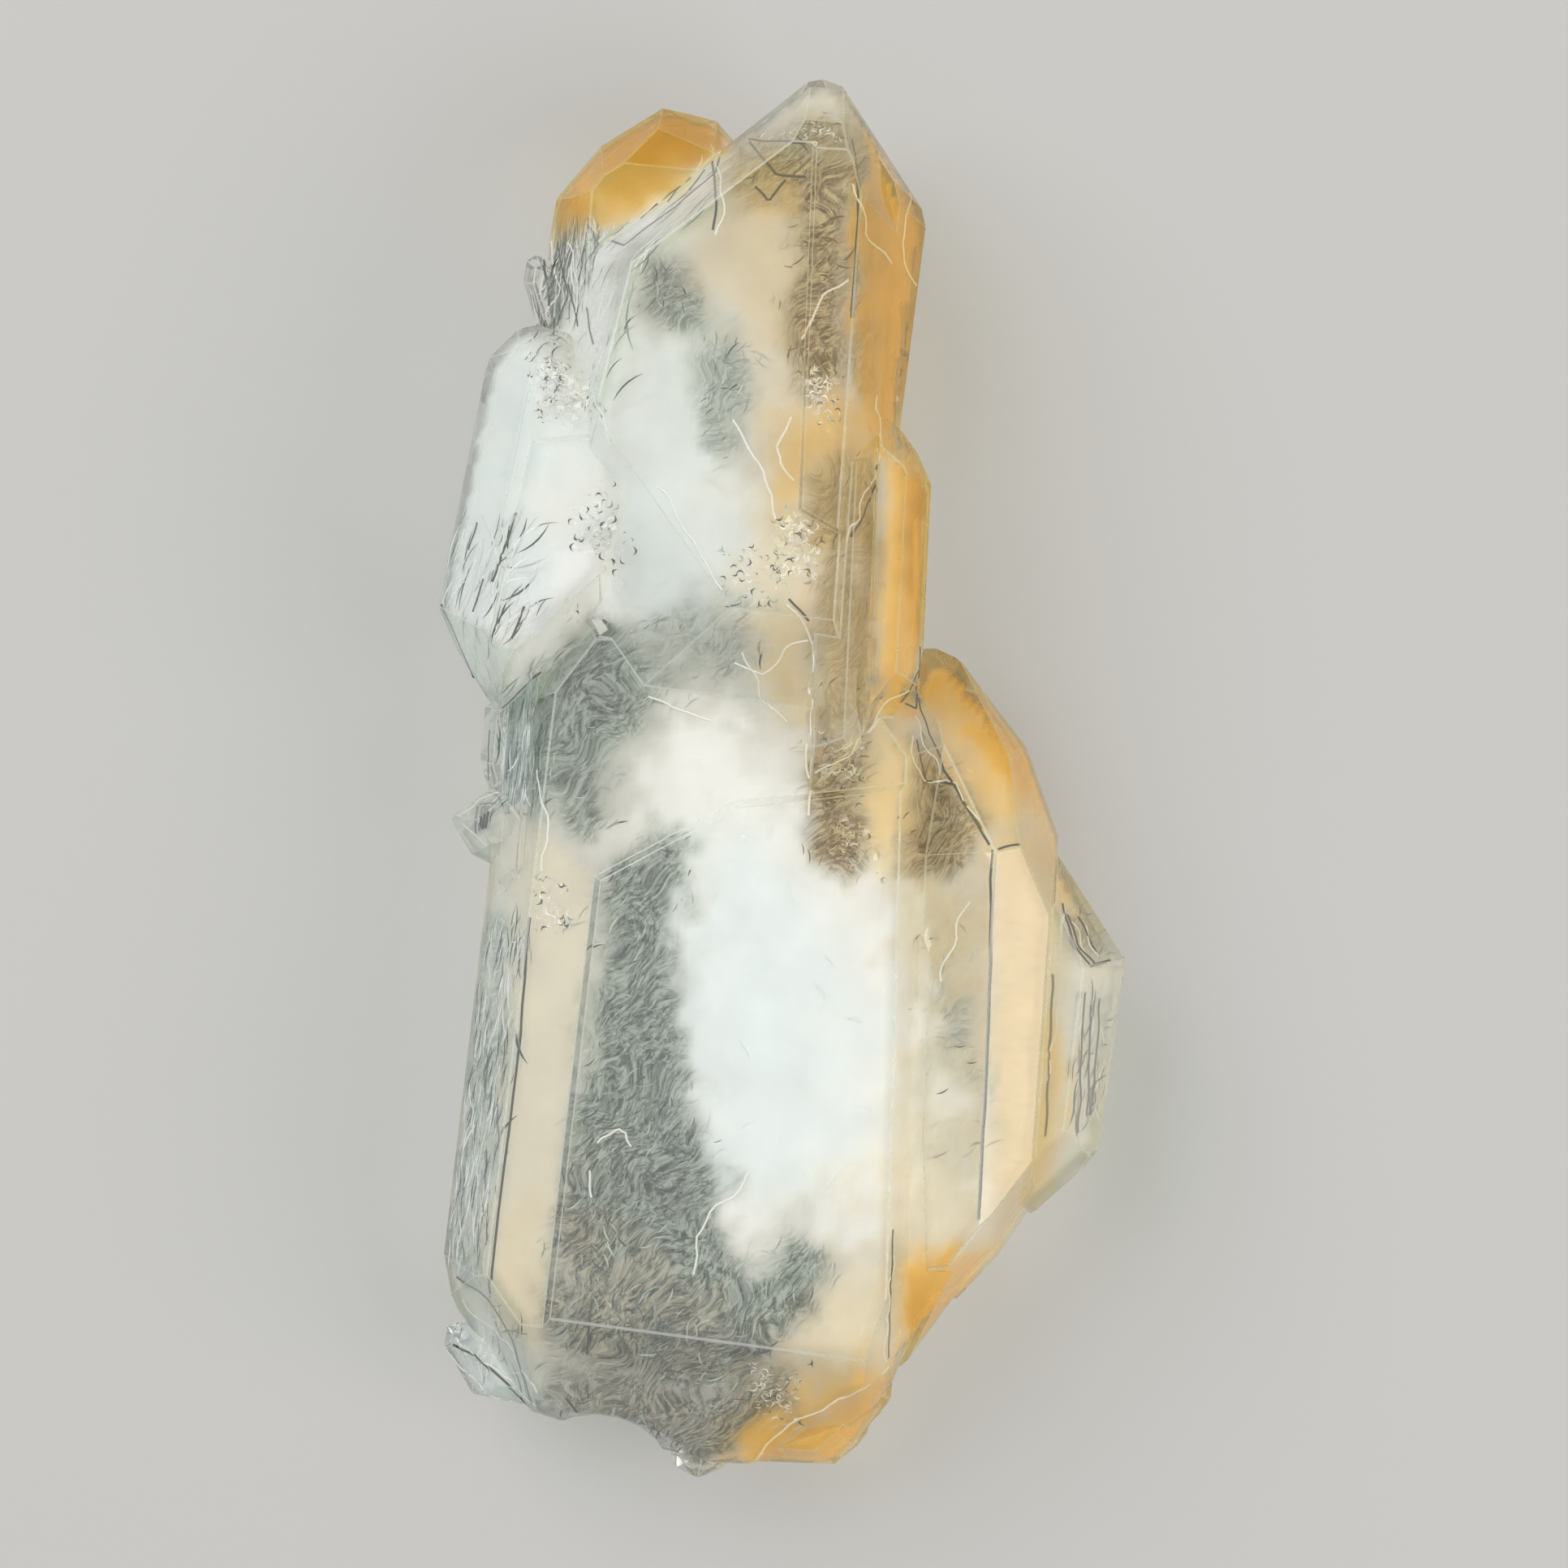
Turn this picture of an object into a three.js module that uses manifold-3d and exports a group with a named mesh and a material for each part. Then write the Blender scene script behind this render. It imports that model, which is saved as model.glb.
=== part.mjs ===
// A faden quartz crystal: a flat cluster of clear quartz crystals that grew side by side, almost parallel,
// along one milky thread. It lies on its back. X runs across it, Y along the crystals' length towards the
// pointed top, and Z up from the surface that it rests on to its broad front. Millimetres, and degrees.
//
// Each crystal is the space inside its own flat faces. Its rim is its widest outline, seen from the front
// and listed anticlockwise, at the height `girdle`. Every side of the rim carries two faces, which slope
// inwards from it: one up to the front, and one down to the back. A slope is the angle between a face and
// the surface that the cluster rests on.
import * as THREE from "three";
import { ConvexGeometry } from "three/addons/geometries/ConvexGeometry.js";
import { mergeVertices } from "three/addons/utils/BufferGeometryUtils.js";
import Module from "manifold-3d";

const wasm = await Module();
wasm.setup();

// Slopes that quartz gives its faces when a broad prism face looks straight up.
const PRISM = 60; // the prism faces beside the broad one
const TIP_SIDE = 67; // the tip's faces above those
const TIP_FRONT = 38; // the tip's face above the broad one
const STEEP = 80; // a side that is mostly hidden in a neighbour
const LEDGE = 50; // the edge of a growth step

// The main heights of the faces.
const REST = 0; // the back faces that the cluster lies on
const UPPER_FRONT = 10.8; // the tall upper crystal's broad face
const UPPER_SHELF = 8.6; // the broad face of the wider crystal behind it
const LOWER_FRONT = 8.4; // the large lower crystal's broad face
const SHOULDER_FRONT = 10.0; // the doubly pointed crystal on the left
const RIGHT_RIDGE = 8.6; // the ridge along the right-hand crystal
const OUTER_RIDGE = 6.6; // the ridge along the outermost crystal
const STEP = 0.28; // how far a growth step stands above its face

const SAME_POINT = 1e-4;
const degrees = THREE.MathUtils.degToRad;

// A face through a point. Its outward side looks along `bearing` (0 is +X, 90 is +Y). A slope over 90 looks down.
function face([x, y, z], bearing, slope) {
  const across = Math.sin(degrees(slope));
  const normal = new THREE.Vector3(
    across * Math.cos(degrees(bearing)),
    across * Math.sin(degrees(bearing)),
    Math.cos(degrees(slope)),
  );
  return new THREE.Plane().setFromNormalAndCoplanarPoint(normal, new THREE.Vector3(x, y, z));
}

// The two faces that meet in each side of a rim.
function rimFaces(rim, girdle) {
  return rim.flatMap(([x, y, up = PRISM, down = PRISM], i) => {
    const [nextX, nextY] = rim[(i + 1) % rim.length];
    const bearing = THREE.MathUtils.radToDeg(Math.atan2(x - nextX, nextY - y));
    const place = [x, y, girdle];
    return [face(place, bearing, up), face(place, bearing, 180 - down)];
  });
}

// Every point where three faces meet and that no other face cuts off.
function corners(faces) {
  const found = [];
  const meet = (a, b, c) => {
    const matrix = new THREE.Matrix3().set(...a.normal, ...b.normal, ...c.normal);
    if (Math.abs(matrix.determinant()) < SAME_POINT) return;
    const point = new THREE.Vector3(-a.constant, -b.constant, -c.constant).applyMatrix3(matrix.invert());
    const outside = faces.some((f) => f.distanceToPoint(point) > SAME_POINT);
    const known = found.some((p) => p.distanceTo(point) < 10 * SAME_POINT);
    if (!outside && !known) found.push(point);
  };
  faces.forEach((a, i) =>
    faces.slice(i + 1).forEach((b, j) => faces.slice(i + j + 2).forEach((c) => meet(a, b, c))),
  );
  return found;
}

// A closed three.js geometry as a solid that can be joined and cut.
function solid(geometry) {
  geometry.deleteAttribute("normal");
  geometry.deleteAttribute("uv");
  const merged = mergeVertices(geometry, SAME_POINT);
  const vertProperties = merged.attributes.position.array;
  const triVerts = new Uint32Array(merged.index.array);
  return new wasm.Manifold(new wasm.Mesh({ numProp: 3, vertProperties, triVerts }));
}

// One crystal. `back` is the height of its back face, and `front` that of its front face over the middle of the
// rim. `lean` is the bearing and slope of the front face. `cuts` holds more faces as [point, bearing, slope].
function crystal({ front, back, girdle, rim, lean = [0, 0], cuts = [] }) {
  const middle = [0, 1].map((axis) => rim.reduce((sum, corner) => sum + corner[axis], 0) / rim.length);
  const faces = [
    ...rimFaces(rim, girdle),
    ...cuts.map(([point, bearing, slope]) => face(point, bearing, slope)),
    face([...middle, front], ...lean),
    face([...middle, back], 0, 180),
  ];
  return solid(new ConvexGeometry(corners(faces)));
}

// The tall crystal that carries the highest point. Its lower point fades into the large crystal below.
const upperFront = {
  front: UPPER_FRONT,
  girdle: UPPER_SHELF,
  back: 5,
  lean: [205, 0.9],
  rim: [
    [0.65, 25.6, 72],
    [-6.1, 20.1, 60],
    [-6.75, 19.6, 58],
    [-7.9, 14.8],
    [-8.2, 8.0, TIP_SIDE],
    [-5.0, 1.2, TIP_SIDE],
    [2.6, 0.9, STEEP],
    [3.6, 12.1, PRISM],
    [4.2, 20.1, 68],
    [3.45, 23.3, TIP_SIDE],
    [2.25, 25.5, 50],
  ],
  cuts: [
    [[0.4, 23.5, UPPER_FRONT], 87.6, TIP_FRONT],
    [[-4.9, 10.9, UPPER_FRONT], -145, 29],
    [[-0.5, 6.3, UPPER_FRONT], -98, 36],
  ],
};

// The wider crystal behind it, whose edge shows along the right of the upper half.
const upperShelf = {
  front: UPPER_SHELF,
  girdle: 6.6,
  back: 1.6,
  lean: [20, 1.2],
  rim: [
    [0.6, 25.85, 82, 62],
    [-6.2, 20.3, 70],
    [-6.9, 19.75],
    [-8.1, 7.0, TIP_SIDE],
    [-3.6, 3.8, STEEP],
    [0.5, 3.8, TIP_SIDE],
    [3.2, 4, PRISM],
    [5.3, 20.5, 66],
    [5.15, 21.2, 78, 64],
    [2.2, 25.75, 60, 55],
    [1.5, 26.0, 55, 55],
  ],
};

// The deepest upper crystal, which reaches the resting surface.
const upperBase = {
  front: 5,
  girdle: 2.5,
  back: REST,
  rim: [
    [0.3, 24.2, 62, 55],
    [-5.6, 19.4],
    [-7.0, 7.0, 64],
    [-4.0, 1.0, STEEP],
    [1.0, 1.0, STEEP],
    [3.5, 6.0],
    [4.3, 19.8, 64, 60],
    [1.8, 24.3, 60, 50],
  ],
};

// A slender crystal whose lower half stands out of the tall one's lower point.
const slender = {
  front: 9.9,
  girdle: 8.8,
  back: 6,
  lean: [-20, 1.5],
  rim: [
    [1.05, 12, 82],
    [0.98, -0.4, TIP_SIDE],
    [2.85, 1.3, 66],
    [3.0, 2.7, 62],
    [3.35, 9.5, STEEP],
    [3.2, 12, STEEP],
  ],
  cuts: [[[1.9, 1.6, 9.9], -70, 46]],
};

// The narrow crystal on the right of the upper half.
const rightNarrow = {
  front: 9.4,
  girdle: 7.7,
  back: 3,
  lean: [8, 2.5],
  rim: [
    [3.3, 13.6, STEEP],
    [2.8, 1.4, 66],
    [3.4, 1.6, 62],
    [4.95, 3.6, 64],
    [5.2, 5.0, PRISM],
    [5.48, 11.0, TIP_SIDE],
    [5.0, 12.1, TIP_SIDE],
    [4.4, 12.95, 60],
    [3.9, 13.4, 60],
  ],
  cuts: [[[4.6, 3.9, 9.4], -52, 48]],
};

// The large lower crystal, which is most of the cluster.
const lower = {
  front: LOWER_FRONT,
  girdle: 5.4,
  back: 1.2,
  rim: [
    [-10.15, 2.8],
    [-12.55, -17.45, 64],
    [-12.2, -19.4, 66, TIP_SIDE],
    [-9.3, -23.25, 76, 70],
    [-2.4, -25.4, 80, 64],
    [1.8, -25.4, 70],
    [4.1, -22.1, 68],
    [5.75, -17.3],
    [6.3, 1.5],
    [5.0, 3.4, 70],
    [1.0, 6.4, 70],
    [-7.4, 6.4, 70],
  ],
  cuts: [
    [[-9.15, -19.9, LOWER_FRONT], -97.6, TIP_FRONT],
    [[3.6, -21.6, LOWER_FRONT], -69, 64],
    [[-10.55, -18.5, LOWER_FRONT], -146, 61],
  ],
};

// A growth step over most of its broad face: its left and upper edges show.
const lowerStep = {
  ...lower,
  front: LOWER_FRONT + STEP,
  cuts: [
    ...lower.cuts,
    [[-6.9, -3.4, LOWER_FRONT], 173.4, LEDGE],
    [[-6.9, -3.4, LOWER_FRONT], 118, LEDGE],
    [[-1.2, -0.6, LOWER_FRONT], 96, LEDGE],
  ],
};

// A crystal behind its lower right corner, which the broken base crosses.
const lowerCorner = {
  front: 5.4,
  girdle: 3.6,
  back: 1.6,
  lean: [-60, 8],
  rim: [
    [-2.0, -25.2, 70],
    [1.95, -25.35, 60],
    [2.75, -24.7, 60],
    [4.05, -22.9, 60],
    [4.15, -21.5, STEEP],
    [-1.0, -21.5, STEEP],
  ],
};

// The deepest lower crystal, which reaches the resting surface.
const lowerBase = {
  front: 4.2,
  girdle: 2.3,
  back: REST,
  rim: [
    [-10.3, 1.0],
    [-10.9, -5.0],
    [-11.9, -17.0, 64],
    [-9.0, -21.6, 66],
    [-2.0, -23.6, 66, 55],
    [2.0, -23.4, 66, 60],
    [4.6, -18.0],
    [5.0, 0.0],
    [2.0, 3.6, 66],
    [-7.0, 3.6, 66],
  ],
};

// The doubly pointed crystal on the left of the upper half.
const leftShoulder = {
  front: SHOULDER_FRONT,
  girdle: 7.2,
  back: 2.4,
  lean: [176, 1.8],
  rim: [
    [-10.8, 15.7, 56],
    [-10.95, 15.25, 57],
    [-12.7, 6.55, TIP_SIDE, TIP_SIDE],
    [-12.0, 4.9, TIP_SIDE, TIP_SIDE],
    [-10.5, 2.5, TIP_SIDE, TIP_SIDE],
    [-8.85, 3.95, TIP_SIDE, TIP_SIDE],
    [-6.7, 5.85, STEEP],
    [-5.2, 10.3, STEEP],
    [-6.1, 14.8, 70],
    [-7.9, 16.6, TIP_SIDE],
    [-9.05, 16.9, 62],
    [-9.75, 16.75, TIP_SIDE],
  ],
  cuts: [
    [[-10.2, 4.7, SHOULDER_FRONT], -94, TIP_FRONT],
    [[-9.3, 15.3, SHOULDER_FRONT], 102, TIP_FRONT],
  ],
};

// The crystal whose point stands behind the upper left.
const backPoint = {
  front: 7.6,
  girdle: 4.9,
  back: 2.0,
  lean: [120, 2.5],
  rim: [
    [-4.4, 25.1, 66],
    [-6.75, 23.65, 70],
    [-8.4, 21.7, 66],
    [-8.7, 19.9],
    [-9.0, 16.0, TIP_SIDE],
    [-7.9, 13.5, STEEP],
    [-1.8, 13.5, STEEP],
    [-1.6, 23.6, 66],
    [-2.5, 24.65, 60],
    [-3.45, 24.85, 58],
  ],
  cuts: [
    [[-5.6, 22.7, 7.6], 86, TIP_FRONT],
    [[-6.8, 22.7, 7.6], 128, 52],
  ],
};

// The right-hand crystal. A prism edge, not a face, looks up, so its ridge runs down the middle.
const rightRidged = {
  front: RIGHT_RIDGE,
  girdle: 3.4,
  back: 0.8,
  rim: [
    [5.15, 5.0, 70],
    [4.6, 3.4, STEEP],
    [4.3, -4.1, STEEP],
    [4.65, -19.15, 72],
    [6.5, -19.2, 74],
    [8.0, -17.6, 76],
    [9.65, -15.2, 86],
    [10.1, -5.6, 86],
    [10.3, -2.8, 84],
    [10.3, -2.0, 72],
    [9.1, 1.35, 72],
    [6.55, 4.7, 66],
    [5.75, 5.15, 60],
  ],
  cuts: [
    [[7.8, -2.5, RIGHT_RIDGE], -2.8, 22],
    [[7.8, -2.5, RIGHT_RIDGE], 177.2, 33],
    [[7.8, -2.5, RIGHT_RIDGE], 73, 39],
    [[7.8, -2.5, RIGHT_RIDGE], 152, 37],
    [[7.05, -17.9, RIGHT_RIDGE], -76, 46],
  ],
};

// The outermost crystal on the right, ridged in the same way.
const rightOuter = {
  front: OUTER_RIDGE,
  girdle: 4.7,
  back: 1.5,
  rim: [
    [10.2, -2.6, 60],
    [9.4, -4.0, STEEP],
    [8.6, -12.0, STEEP],
    [9.0, -16.4, 70],
    [9.7, -15.95, 70],
    [10.7, -14.8, 70],
    [11.8, -13.5, 50],
    [12.67, -7.2, 54],
    [12.7, -6.5, 52],
    [10.3, -2.75, 52],
  ],
  cuts: [
    [[11.1, -6.7, OUTER_RIDGE], -5, 50],
    [[11.1, -6.7, OUTER_RIDGE], 175, 24],
    [[10.6, -12.6, OUTER_RIDGE], -60, 46],
  ],
};

// The low crystal between the large one and the ridged one.
const rightLow = {
  front: 7.2,
  girdle: 4.4,
  back: 0.6,
  rim: [
    [4.4, -1.0, STEEP],
    [4.0, -21.8, 70],
    [4.25, -22.0, 76],
    [7.2, -17.8, 70],
    [7.5, -10.0, STEEP],
    [6.2, -4.4, 60],
  ],
  cuts: [[[5.6, -18.0, 7.2], -84, 40]],
};

// Small crystals on the left edge: one that points left, and parallel ones above and below it.
const leftPoint = {
  front: 6.7,
  girdle: 5.4,
  back: 4.2,
  rim: [
    [-10.7, -0.1, 62],
    [-12.2, -1.1, 60],
    [-12.25, -1.45, 56],
    [-11.55, -2.6, 62],
    [-10.85, -2.95, 62],
    [-9.6, -2.7, STEEP],
    [-9.6, -0.2, STEEP],
  ],
  cuts: [[[-11.3, -1.3, 6.7], 176, 40]],
};
const leftSliver = {
  front: 6.2,
  girdle: 5.0,
  back: 3.2,
  rim: [
    [-11.05, 2.9, 66],
    [-11.25, 0.9, 70],
    [-10.85, -0.4, 66],
    [-9.7, -0.6, STEEP],
    [-9.7, 3.2, STEEP],
  ],
};
const leftShort = {
  front: 7.7,
  girdle: 5.6,
  back: 3.4,
  lean: [178, 4],
  rim: [
    [-10.5, 4.9, 62],
    [-10.7, -0.8, 62],
    [-10.95, -4.2, 62],
    [-10.9, -4.8, 50],
    [-9.3, -4.9, STEEP],
    [-8.6, 4.9, STEEP],
  ],
};
const leftFacet = {
  front: 8.05,
  girdle: 6.6,
  back: 5,
  rim: [
    [-10.3, -0.6, 58],
    [-10.55, -3.6, 52],
    [-9.4, -4.6, 60],
    [-9.0, -1.0, STEEP],
    [-9.3, -0.3, 50],
  ],
};

// A tiny crystal that leans against the point behind the upper left.
const tiny = {
  front: 5.7,
  girdle: 5.0,
  back: 4.2,
  rim: [
    [-9.15, 19.6, 58],
    [-9.5, 19.4, 60],
    [-9.63, 18.6, 64],
    [-9.05, 16.7, 62],
    [-8.3, 16.9, STEEP],
    [-8.2, 19.3, 66],
  ],
};

// Flat chips at the lower left. Each next one is a shorter copy, set back and higher.
const CHIP_SLIP = [0.28, 0.02, 0.55];
const chip = (k) => ({
  front: 4.5 + CHIP_SLIP[2] * k,
  girdle: 3.9 + CHIP_SLIP[2] * k,
  back: 3.0 + CHIP_SLIP[2] * k,
  rim: [
    [-12.0, -20.0, 40],
    [-12.5, -20.15, 40],
    [-12.6, -20.9, 44],
    [-11.55, -22.7, 50],
    [-9.2, -23.2, 60],
    [-9.6, -21.6, STEEP],
    [-10.9, -20.5, 48],
  ].map(([x, y, ...slopes]) => [x + CHIP_SLIP[0] * k, y + CHIP_SLIP[1] * k, ...slopes]),
});

// The stub that the broken base ends in.
const stub = {
  front: 5.0,
  girdle: 3.8,
  back: 2.6,
  rim: [
    [-4.35, -24.2, 70],
    [-4.0, -25.45, 46],
    [-2.9, -26.0, 46],
    [-2.3, -25.5, 50],
    [-1.6, -25.2, 60],
    [-1.6, -24.0, STEEP],
  ],
};

// Growth steps on the tall crystal and on the doubly pointed one.
const upperStep = {
  ...upperFront,
  front: UPPER_FRONT + 0.16,
  cuts: [
    ...upperFront.cuts,
    [[0.75, 15.0, UPPER_FRONT], 178, LEDGE],
    [[1.2, 9.6, UPPER_FRONT], -120, LEDGE],
  ],
};
const shoulderStep = {
  ...leftShoulder,
  front: SHOULDER_FRONT + 0.2,
  cuts: [
    ...leftShoulder.cuts,
    [[-9.0, 12.6, SHOULDER_FRONT], 96, LEDGE],
    [[-9.9, 9.0, SHOULDER_FRONT], 168, LEDGE],
  ],
};

const CRYSTALS = [
  upperFront,
  upperShelf,
  upperBase,
  slender,
  rightNarrow,
  lower,
  lowerStep,
  lowerCorner,
  lowerBase,
  leftShoulder,
  backPoint,
  rightRidged,
  rightOuter,
  rightLow,
  leftPoint,
  leftSliver,
  leftShort,
  leftFacet,
  tiny,
  chip(0),
  chip(1),
  chip(2),
  stub,
  upperStep,
  shoulderStep,
];

// A rounded hollow, such as a shell-shaped break leaves in quartz: centre, and reach along X, Y and Z.
function hollow([centre, reach]) {
  const ball = new THREE.SphereGeometry(1, 20, 12);
  ball.rotateX(Math.PI / 2);
  ball.scale(...reach);
  ball.translate(...centre);
  return solid(ball);
}
const BREAKS = [
  [[-6.9, -25.6, 4.4], [2.75, 2.35, 6.5]],
  [[-10.0, -26.2, 5.0], [3.4, 2.75, 7.0]],
  [[3.95, -24.35, 3.0], [0.85, 0.95, 4.2]],
  [[0.4, -27.4, 0.6], [3.2, 2.6, 3.4]],
  [[-2.4, -25.6, 8.4], [2.4, 1.5, 2.2]],
];

// Clusters of small angular pits: centre, how far they spread, and how many.
const PIT_CLUSTERS = [
  [[-8.2, 14.3, SHOULDER_FRONT], 1.1, 12],
  [[-6.3, 8.9, SHOULDER_FRONT + 0.2], 0.5, 5],
  [[0.5, 8.9, UPPER_FRONT], 0.7, 7],
  [[2.6, -2.2, LOWER_FRONT + STEP], 0.9, 7],
];
const PIT_WIDTH = 0.24;
const PIT_GROWTH = 0.16; // how much wider the widest pit is
const GOLDEN_TURN = Math.PI * (3 - Math.sqrt(5));

function pits([centre, spread, count]) {
  return Array.from({ length: count }, (_, i) => {
    const pit = new THREE.IcosahedronGeometry(1, 0);
    const away = spread * Math.sqrt((i + 0.5) / count);
    const size = PIT_WIDTH + PIT_GROWTH * Math.abs(Math.sin(3 * i));
    pit.rotateZ(i);
    pit.rotateX(2 * i);
    pit.scale(size, size, 0.6 * size);
    pit.translate(
      centre[0] + away * Math.cos(GOLDEN_TURN * i),
      centre[1] + away * Math.sin(GOLDEN_TURN * i),
      centre[2],
    );
    return solid(pit);
  });
}

function cluster() {
  const grown = CRYSTALS.map(crystal).reduce((all, one) => all.add(one));
  return [...BREAKS.map(hollow), ...PIT_CLUSTERS.flatMap(pits)].reduce((all, cut) => all.subtract(cut), grown);
}

function toGeometry(joined) {
  const { vertProperties, triVerts, numProp, numVert } = joined.getMesh();
  const places = new Float32Array(3 * numVert);
  for (let i = 0; i < numVert; i += 1) {
    places.set(vertProperties.subarray(i * numProp, i * numProp + 3), 3 * i);
  }
  const geometry = new THREE.BufferGeometry();
  geometry.setAttribute("position", new THREE.BufferAttribute(places, 3));
  geometry.setIndex(new THREE.BufferAttribute(triVerts, 1));
  geometry.computeBoundingBox();
  const middle = geometry.boundingBox.getCenter(new THREE.Vector3());
  geometry.translate(-middle.x, -middle.y, -geometry.boundingBox.min.z);
  return geometry.toNonIndexed();
}

const quartz = new THREE.MeshStandardMaterial({ color: 0xe6e0cf, roughness: 0.08, metalness: 0 });

const mesh = new THREE.Mesh(toGeometry(cluster()), quartz);
mesh.name = "faden_quartz";
mesh.geometry.computeVertexNormals();

const group = new THREE.Group();
group.add(mesh);
export default group;
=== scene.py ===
"""Dresses the faden quartz crystal: clear faces, the milky cloud, wisps and iron stain inside, and a stage.

The frame is metres: X across the cluster, Y along it and Z up from the surface that it lies on. Places inside
the crystal are given in millimetres, as (x, y), and are seen from the front.
"""
import math
import random

import bmesh
import bpy
import numpy as np
from mathutils import Matrix, Vector, noise
from mathutils.bvhtree import BVHTree


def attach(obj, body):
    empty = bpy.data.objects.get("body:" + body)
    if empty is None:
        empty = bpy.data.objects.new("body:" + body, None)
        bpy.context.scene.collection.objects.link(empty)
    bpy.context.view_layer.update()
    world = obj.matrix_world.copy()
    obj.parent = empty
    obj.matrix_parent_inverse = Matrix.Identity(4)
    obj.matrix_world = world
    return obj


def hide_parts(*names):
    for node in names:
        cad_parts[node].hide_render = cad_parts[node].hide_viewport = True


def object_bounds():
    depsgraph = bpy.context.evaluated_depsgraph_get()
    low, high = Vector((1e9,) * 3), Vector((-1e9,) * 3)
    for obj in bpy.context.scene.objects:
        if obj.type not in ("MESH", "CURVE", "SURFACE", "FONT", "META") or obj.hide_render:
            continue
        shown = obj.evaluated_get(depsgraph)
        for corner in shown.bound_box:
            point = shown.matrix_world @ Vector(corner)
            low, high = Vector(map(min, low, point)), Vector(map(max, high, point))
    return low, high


bl_info = {
    "name": "Faden quartz crystal",
    "version": (1, 0, 0),
    "blender": (4, 5, 0),
    "location": "3D View > Sidebar > Quartz",
    "description": "Builds the clear faces, cloud, wisps and stage of a faden quartz cluster",
    "category": "Object",
}

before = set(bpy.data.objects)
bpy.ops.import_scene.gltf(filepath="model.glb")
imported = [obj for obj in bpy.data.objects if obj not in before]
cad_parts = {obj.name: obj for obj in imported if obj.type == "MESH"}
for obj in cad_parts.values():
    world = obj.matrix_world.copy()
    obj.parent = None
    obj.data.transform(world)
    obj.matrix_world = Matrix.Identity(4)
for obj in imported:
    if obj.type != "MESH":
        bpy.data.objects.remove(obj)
CAD_BOX = [list(corner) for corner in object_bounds()]

NODE = "faden_quartz"
BODY = "root"
MM = 0.001

# Seed of the sway that makes borders and cracks irregular. Without a seed it would differ from run to run.
SWAY_SEED = 3

# Soft-edged zones: outline in millimetres, softness of its border, and strength.
MILK = [
    ([(-4.0, -2.8), (-3.8, -7.0), (-3.5, -11.4), (-2.4, -14.2), (-1.8, -15.2), (-2.4, -17.0), (-0.6, -17.4),
      (1.2, -16.0), (3.0, -15.8), (5.2, -15.0), (6.0, -12.5), (5.4, -8.0), (4.2, -4.6), (2.4, -2.0),
      (0.8, -0.4), (-0.8, 1.6), (-3.0, 3.2), (-4.6, 1.0), (-5.2, -1.2)], 1.2, 1.0),
    ([(-6.2, 16.6), (-3.6, 16.2), (-2.8, 13.0), (-1.6, 11.0), (-0.8, 9.0), (-1.6, 6.6), (-2.4, 5.6),
      (-5.4, 6.4), (-8.6, 4.6), (-9.4, 7.6), (-8.0, 9.0), (-6.8, 12.6)], 0.9, 0.6),
    ([(-10.6, 16.0), (-7.4, 15.8), (-6.4, 13.6), (-6.6, 9.4), (-7.6, 5.4), (-10.4, 3.4), (-12.6, 6.6),
      (-12.2, 10.4), (-11.0, 14.2)], 0.5, 0.7),
    ([(-10.8, 7.0), (-8.0, 9.0), (-6.0, 8.4), (-4.4, 6.8), (-6.4, 5.4), (-8.6, 4.0), (-10.6, 3.4)],
     0.8, 1.0),
    ([(-6.6, 19.6), (-2.4, 23.4), (-1.4, 23.6), (-2.4, 21.6), (-5.4, 19.0)], 0.4, 0.7),
    ([(-7.6, 18.0), (-6.0, 19.4), (-5.8, 16.4), (-6.4, 13.8), (-8.2, 15.4)], 0.5, 0.7),
]
CREAM = [
    ([(-9.2, -1.4), (-7.0, -3.6), (-7.4, -8.0), (-8.2, -14.0), (-8.9, -20.6), (-10.9, -19.4),
      (-10.2, -12.0), (-9.6, -5.4)], 0.25, 0.5),
    ([(3.8, -3.2), (7.8, -3.0), (7.9, -9.0), (7.4, -18.0), (3.8, -17.8), (2.0, -16.4), (5.0, -13.0),
      (5.4, -8.0)], 1.6, 0.65),
    ([(7.8, -2.6), (10.2, -2.4), (10.2, -14.6), (8.0, -17.4), (7.4, -17.6), (7.8, -10.0)], 0.3, 1.0),
    ([(-4.4, 20.8), (-2.0, 21.6), (0.4, 20.6), (1.0, 17.0), (0.6, 13.4), (-0.6, 12.6), (-1.6, 16.4),
      (-3.0, 18.6)], 0.8, 0.4),
    ([(-0.8, 10.2), (1.2, 10.0), (1.2, 3.0), (0.2, 2.2), (-1.2, 5.2), (-1.4, 7.8)], 0.8, 0.8),
    ([(-0.4, 24.6), (1.2, 26.0), (2.6, 25.4), (4.6, 22.4), (3.2, 22.8), (0.8, 23.4)], 0.4, 0.7),
    ([(1.4, -18.4), (4.0, -17.6), (4.0, -21.4), (0.0, -21.6)], 0.8, 0.9),
    ([(3.2, 2.4), (5.0, 2.4), (4.8, -3.6), (3.2, -3.8)], 0.4, 1.0),
    ([(10.2, -2.6), (12.8, -6.6), (12.6, -13.0), (11.0, -15.6), (9.6, -16.6), (10.2, -9.0)], 0.4, 0.4),
    ([(6.8, 1.0), (9.2, 0.8), (10.6, -2.2), (8.4, -3.2), (6.8, -1.0)], 0.8, 1.0),
]
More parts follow.
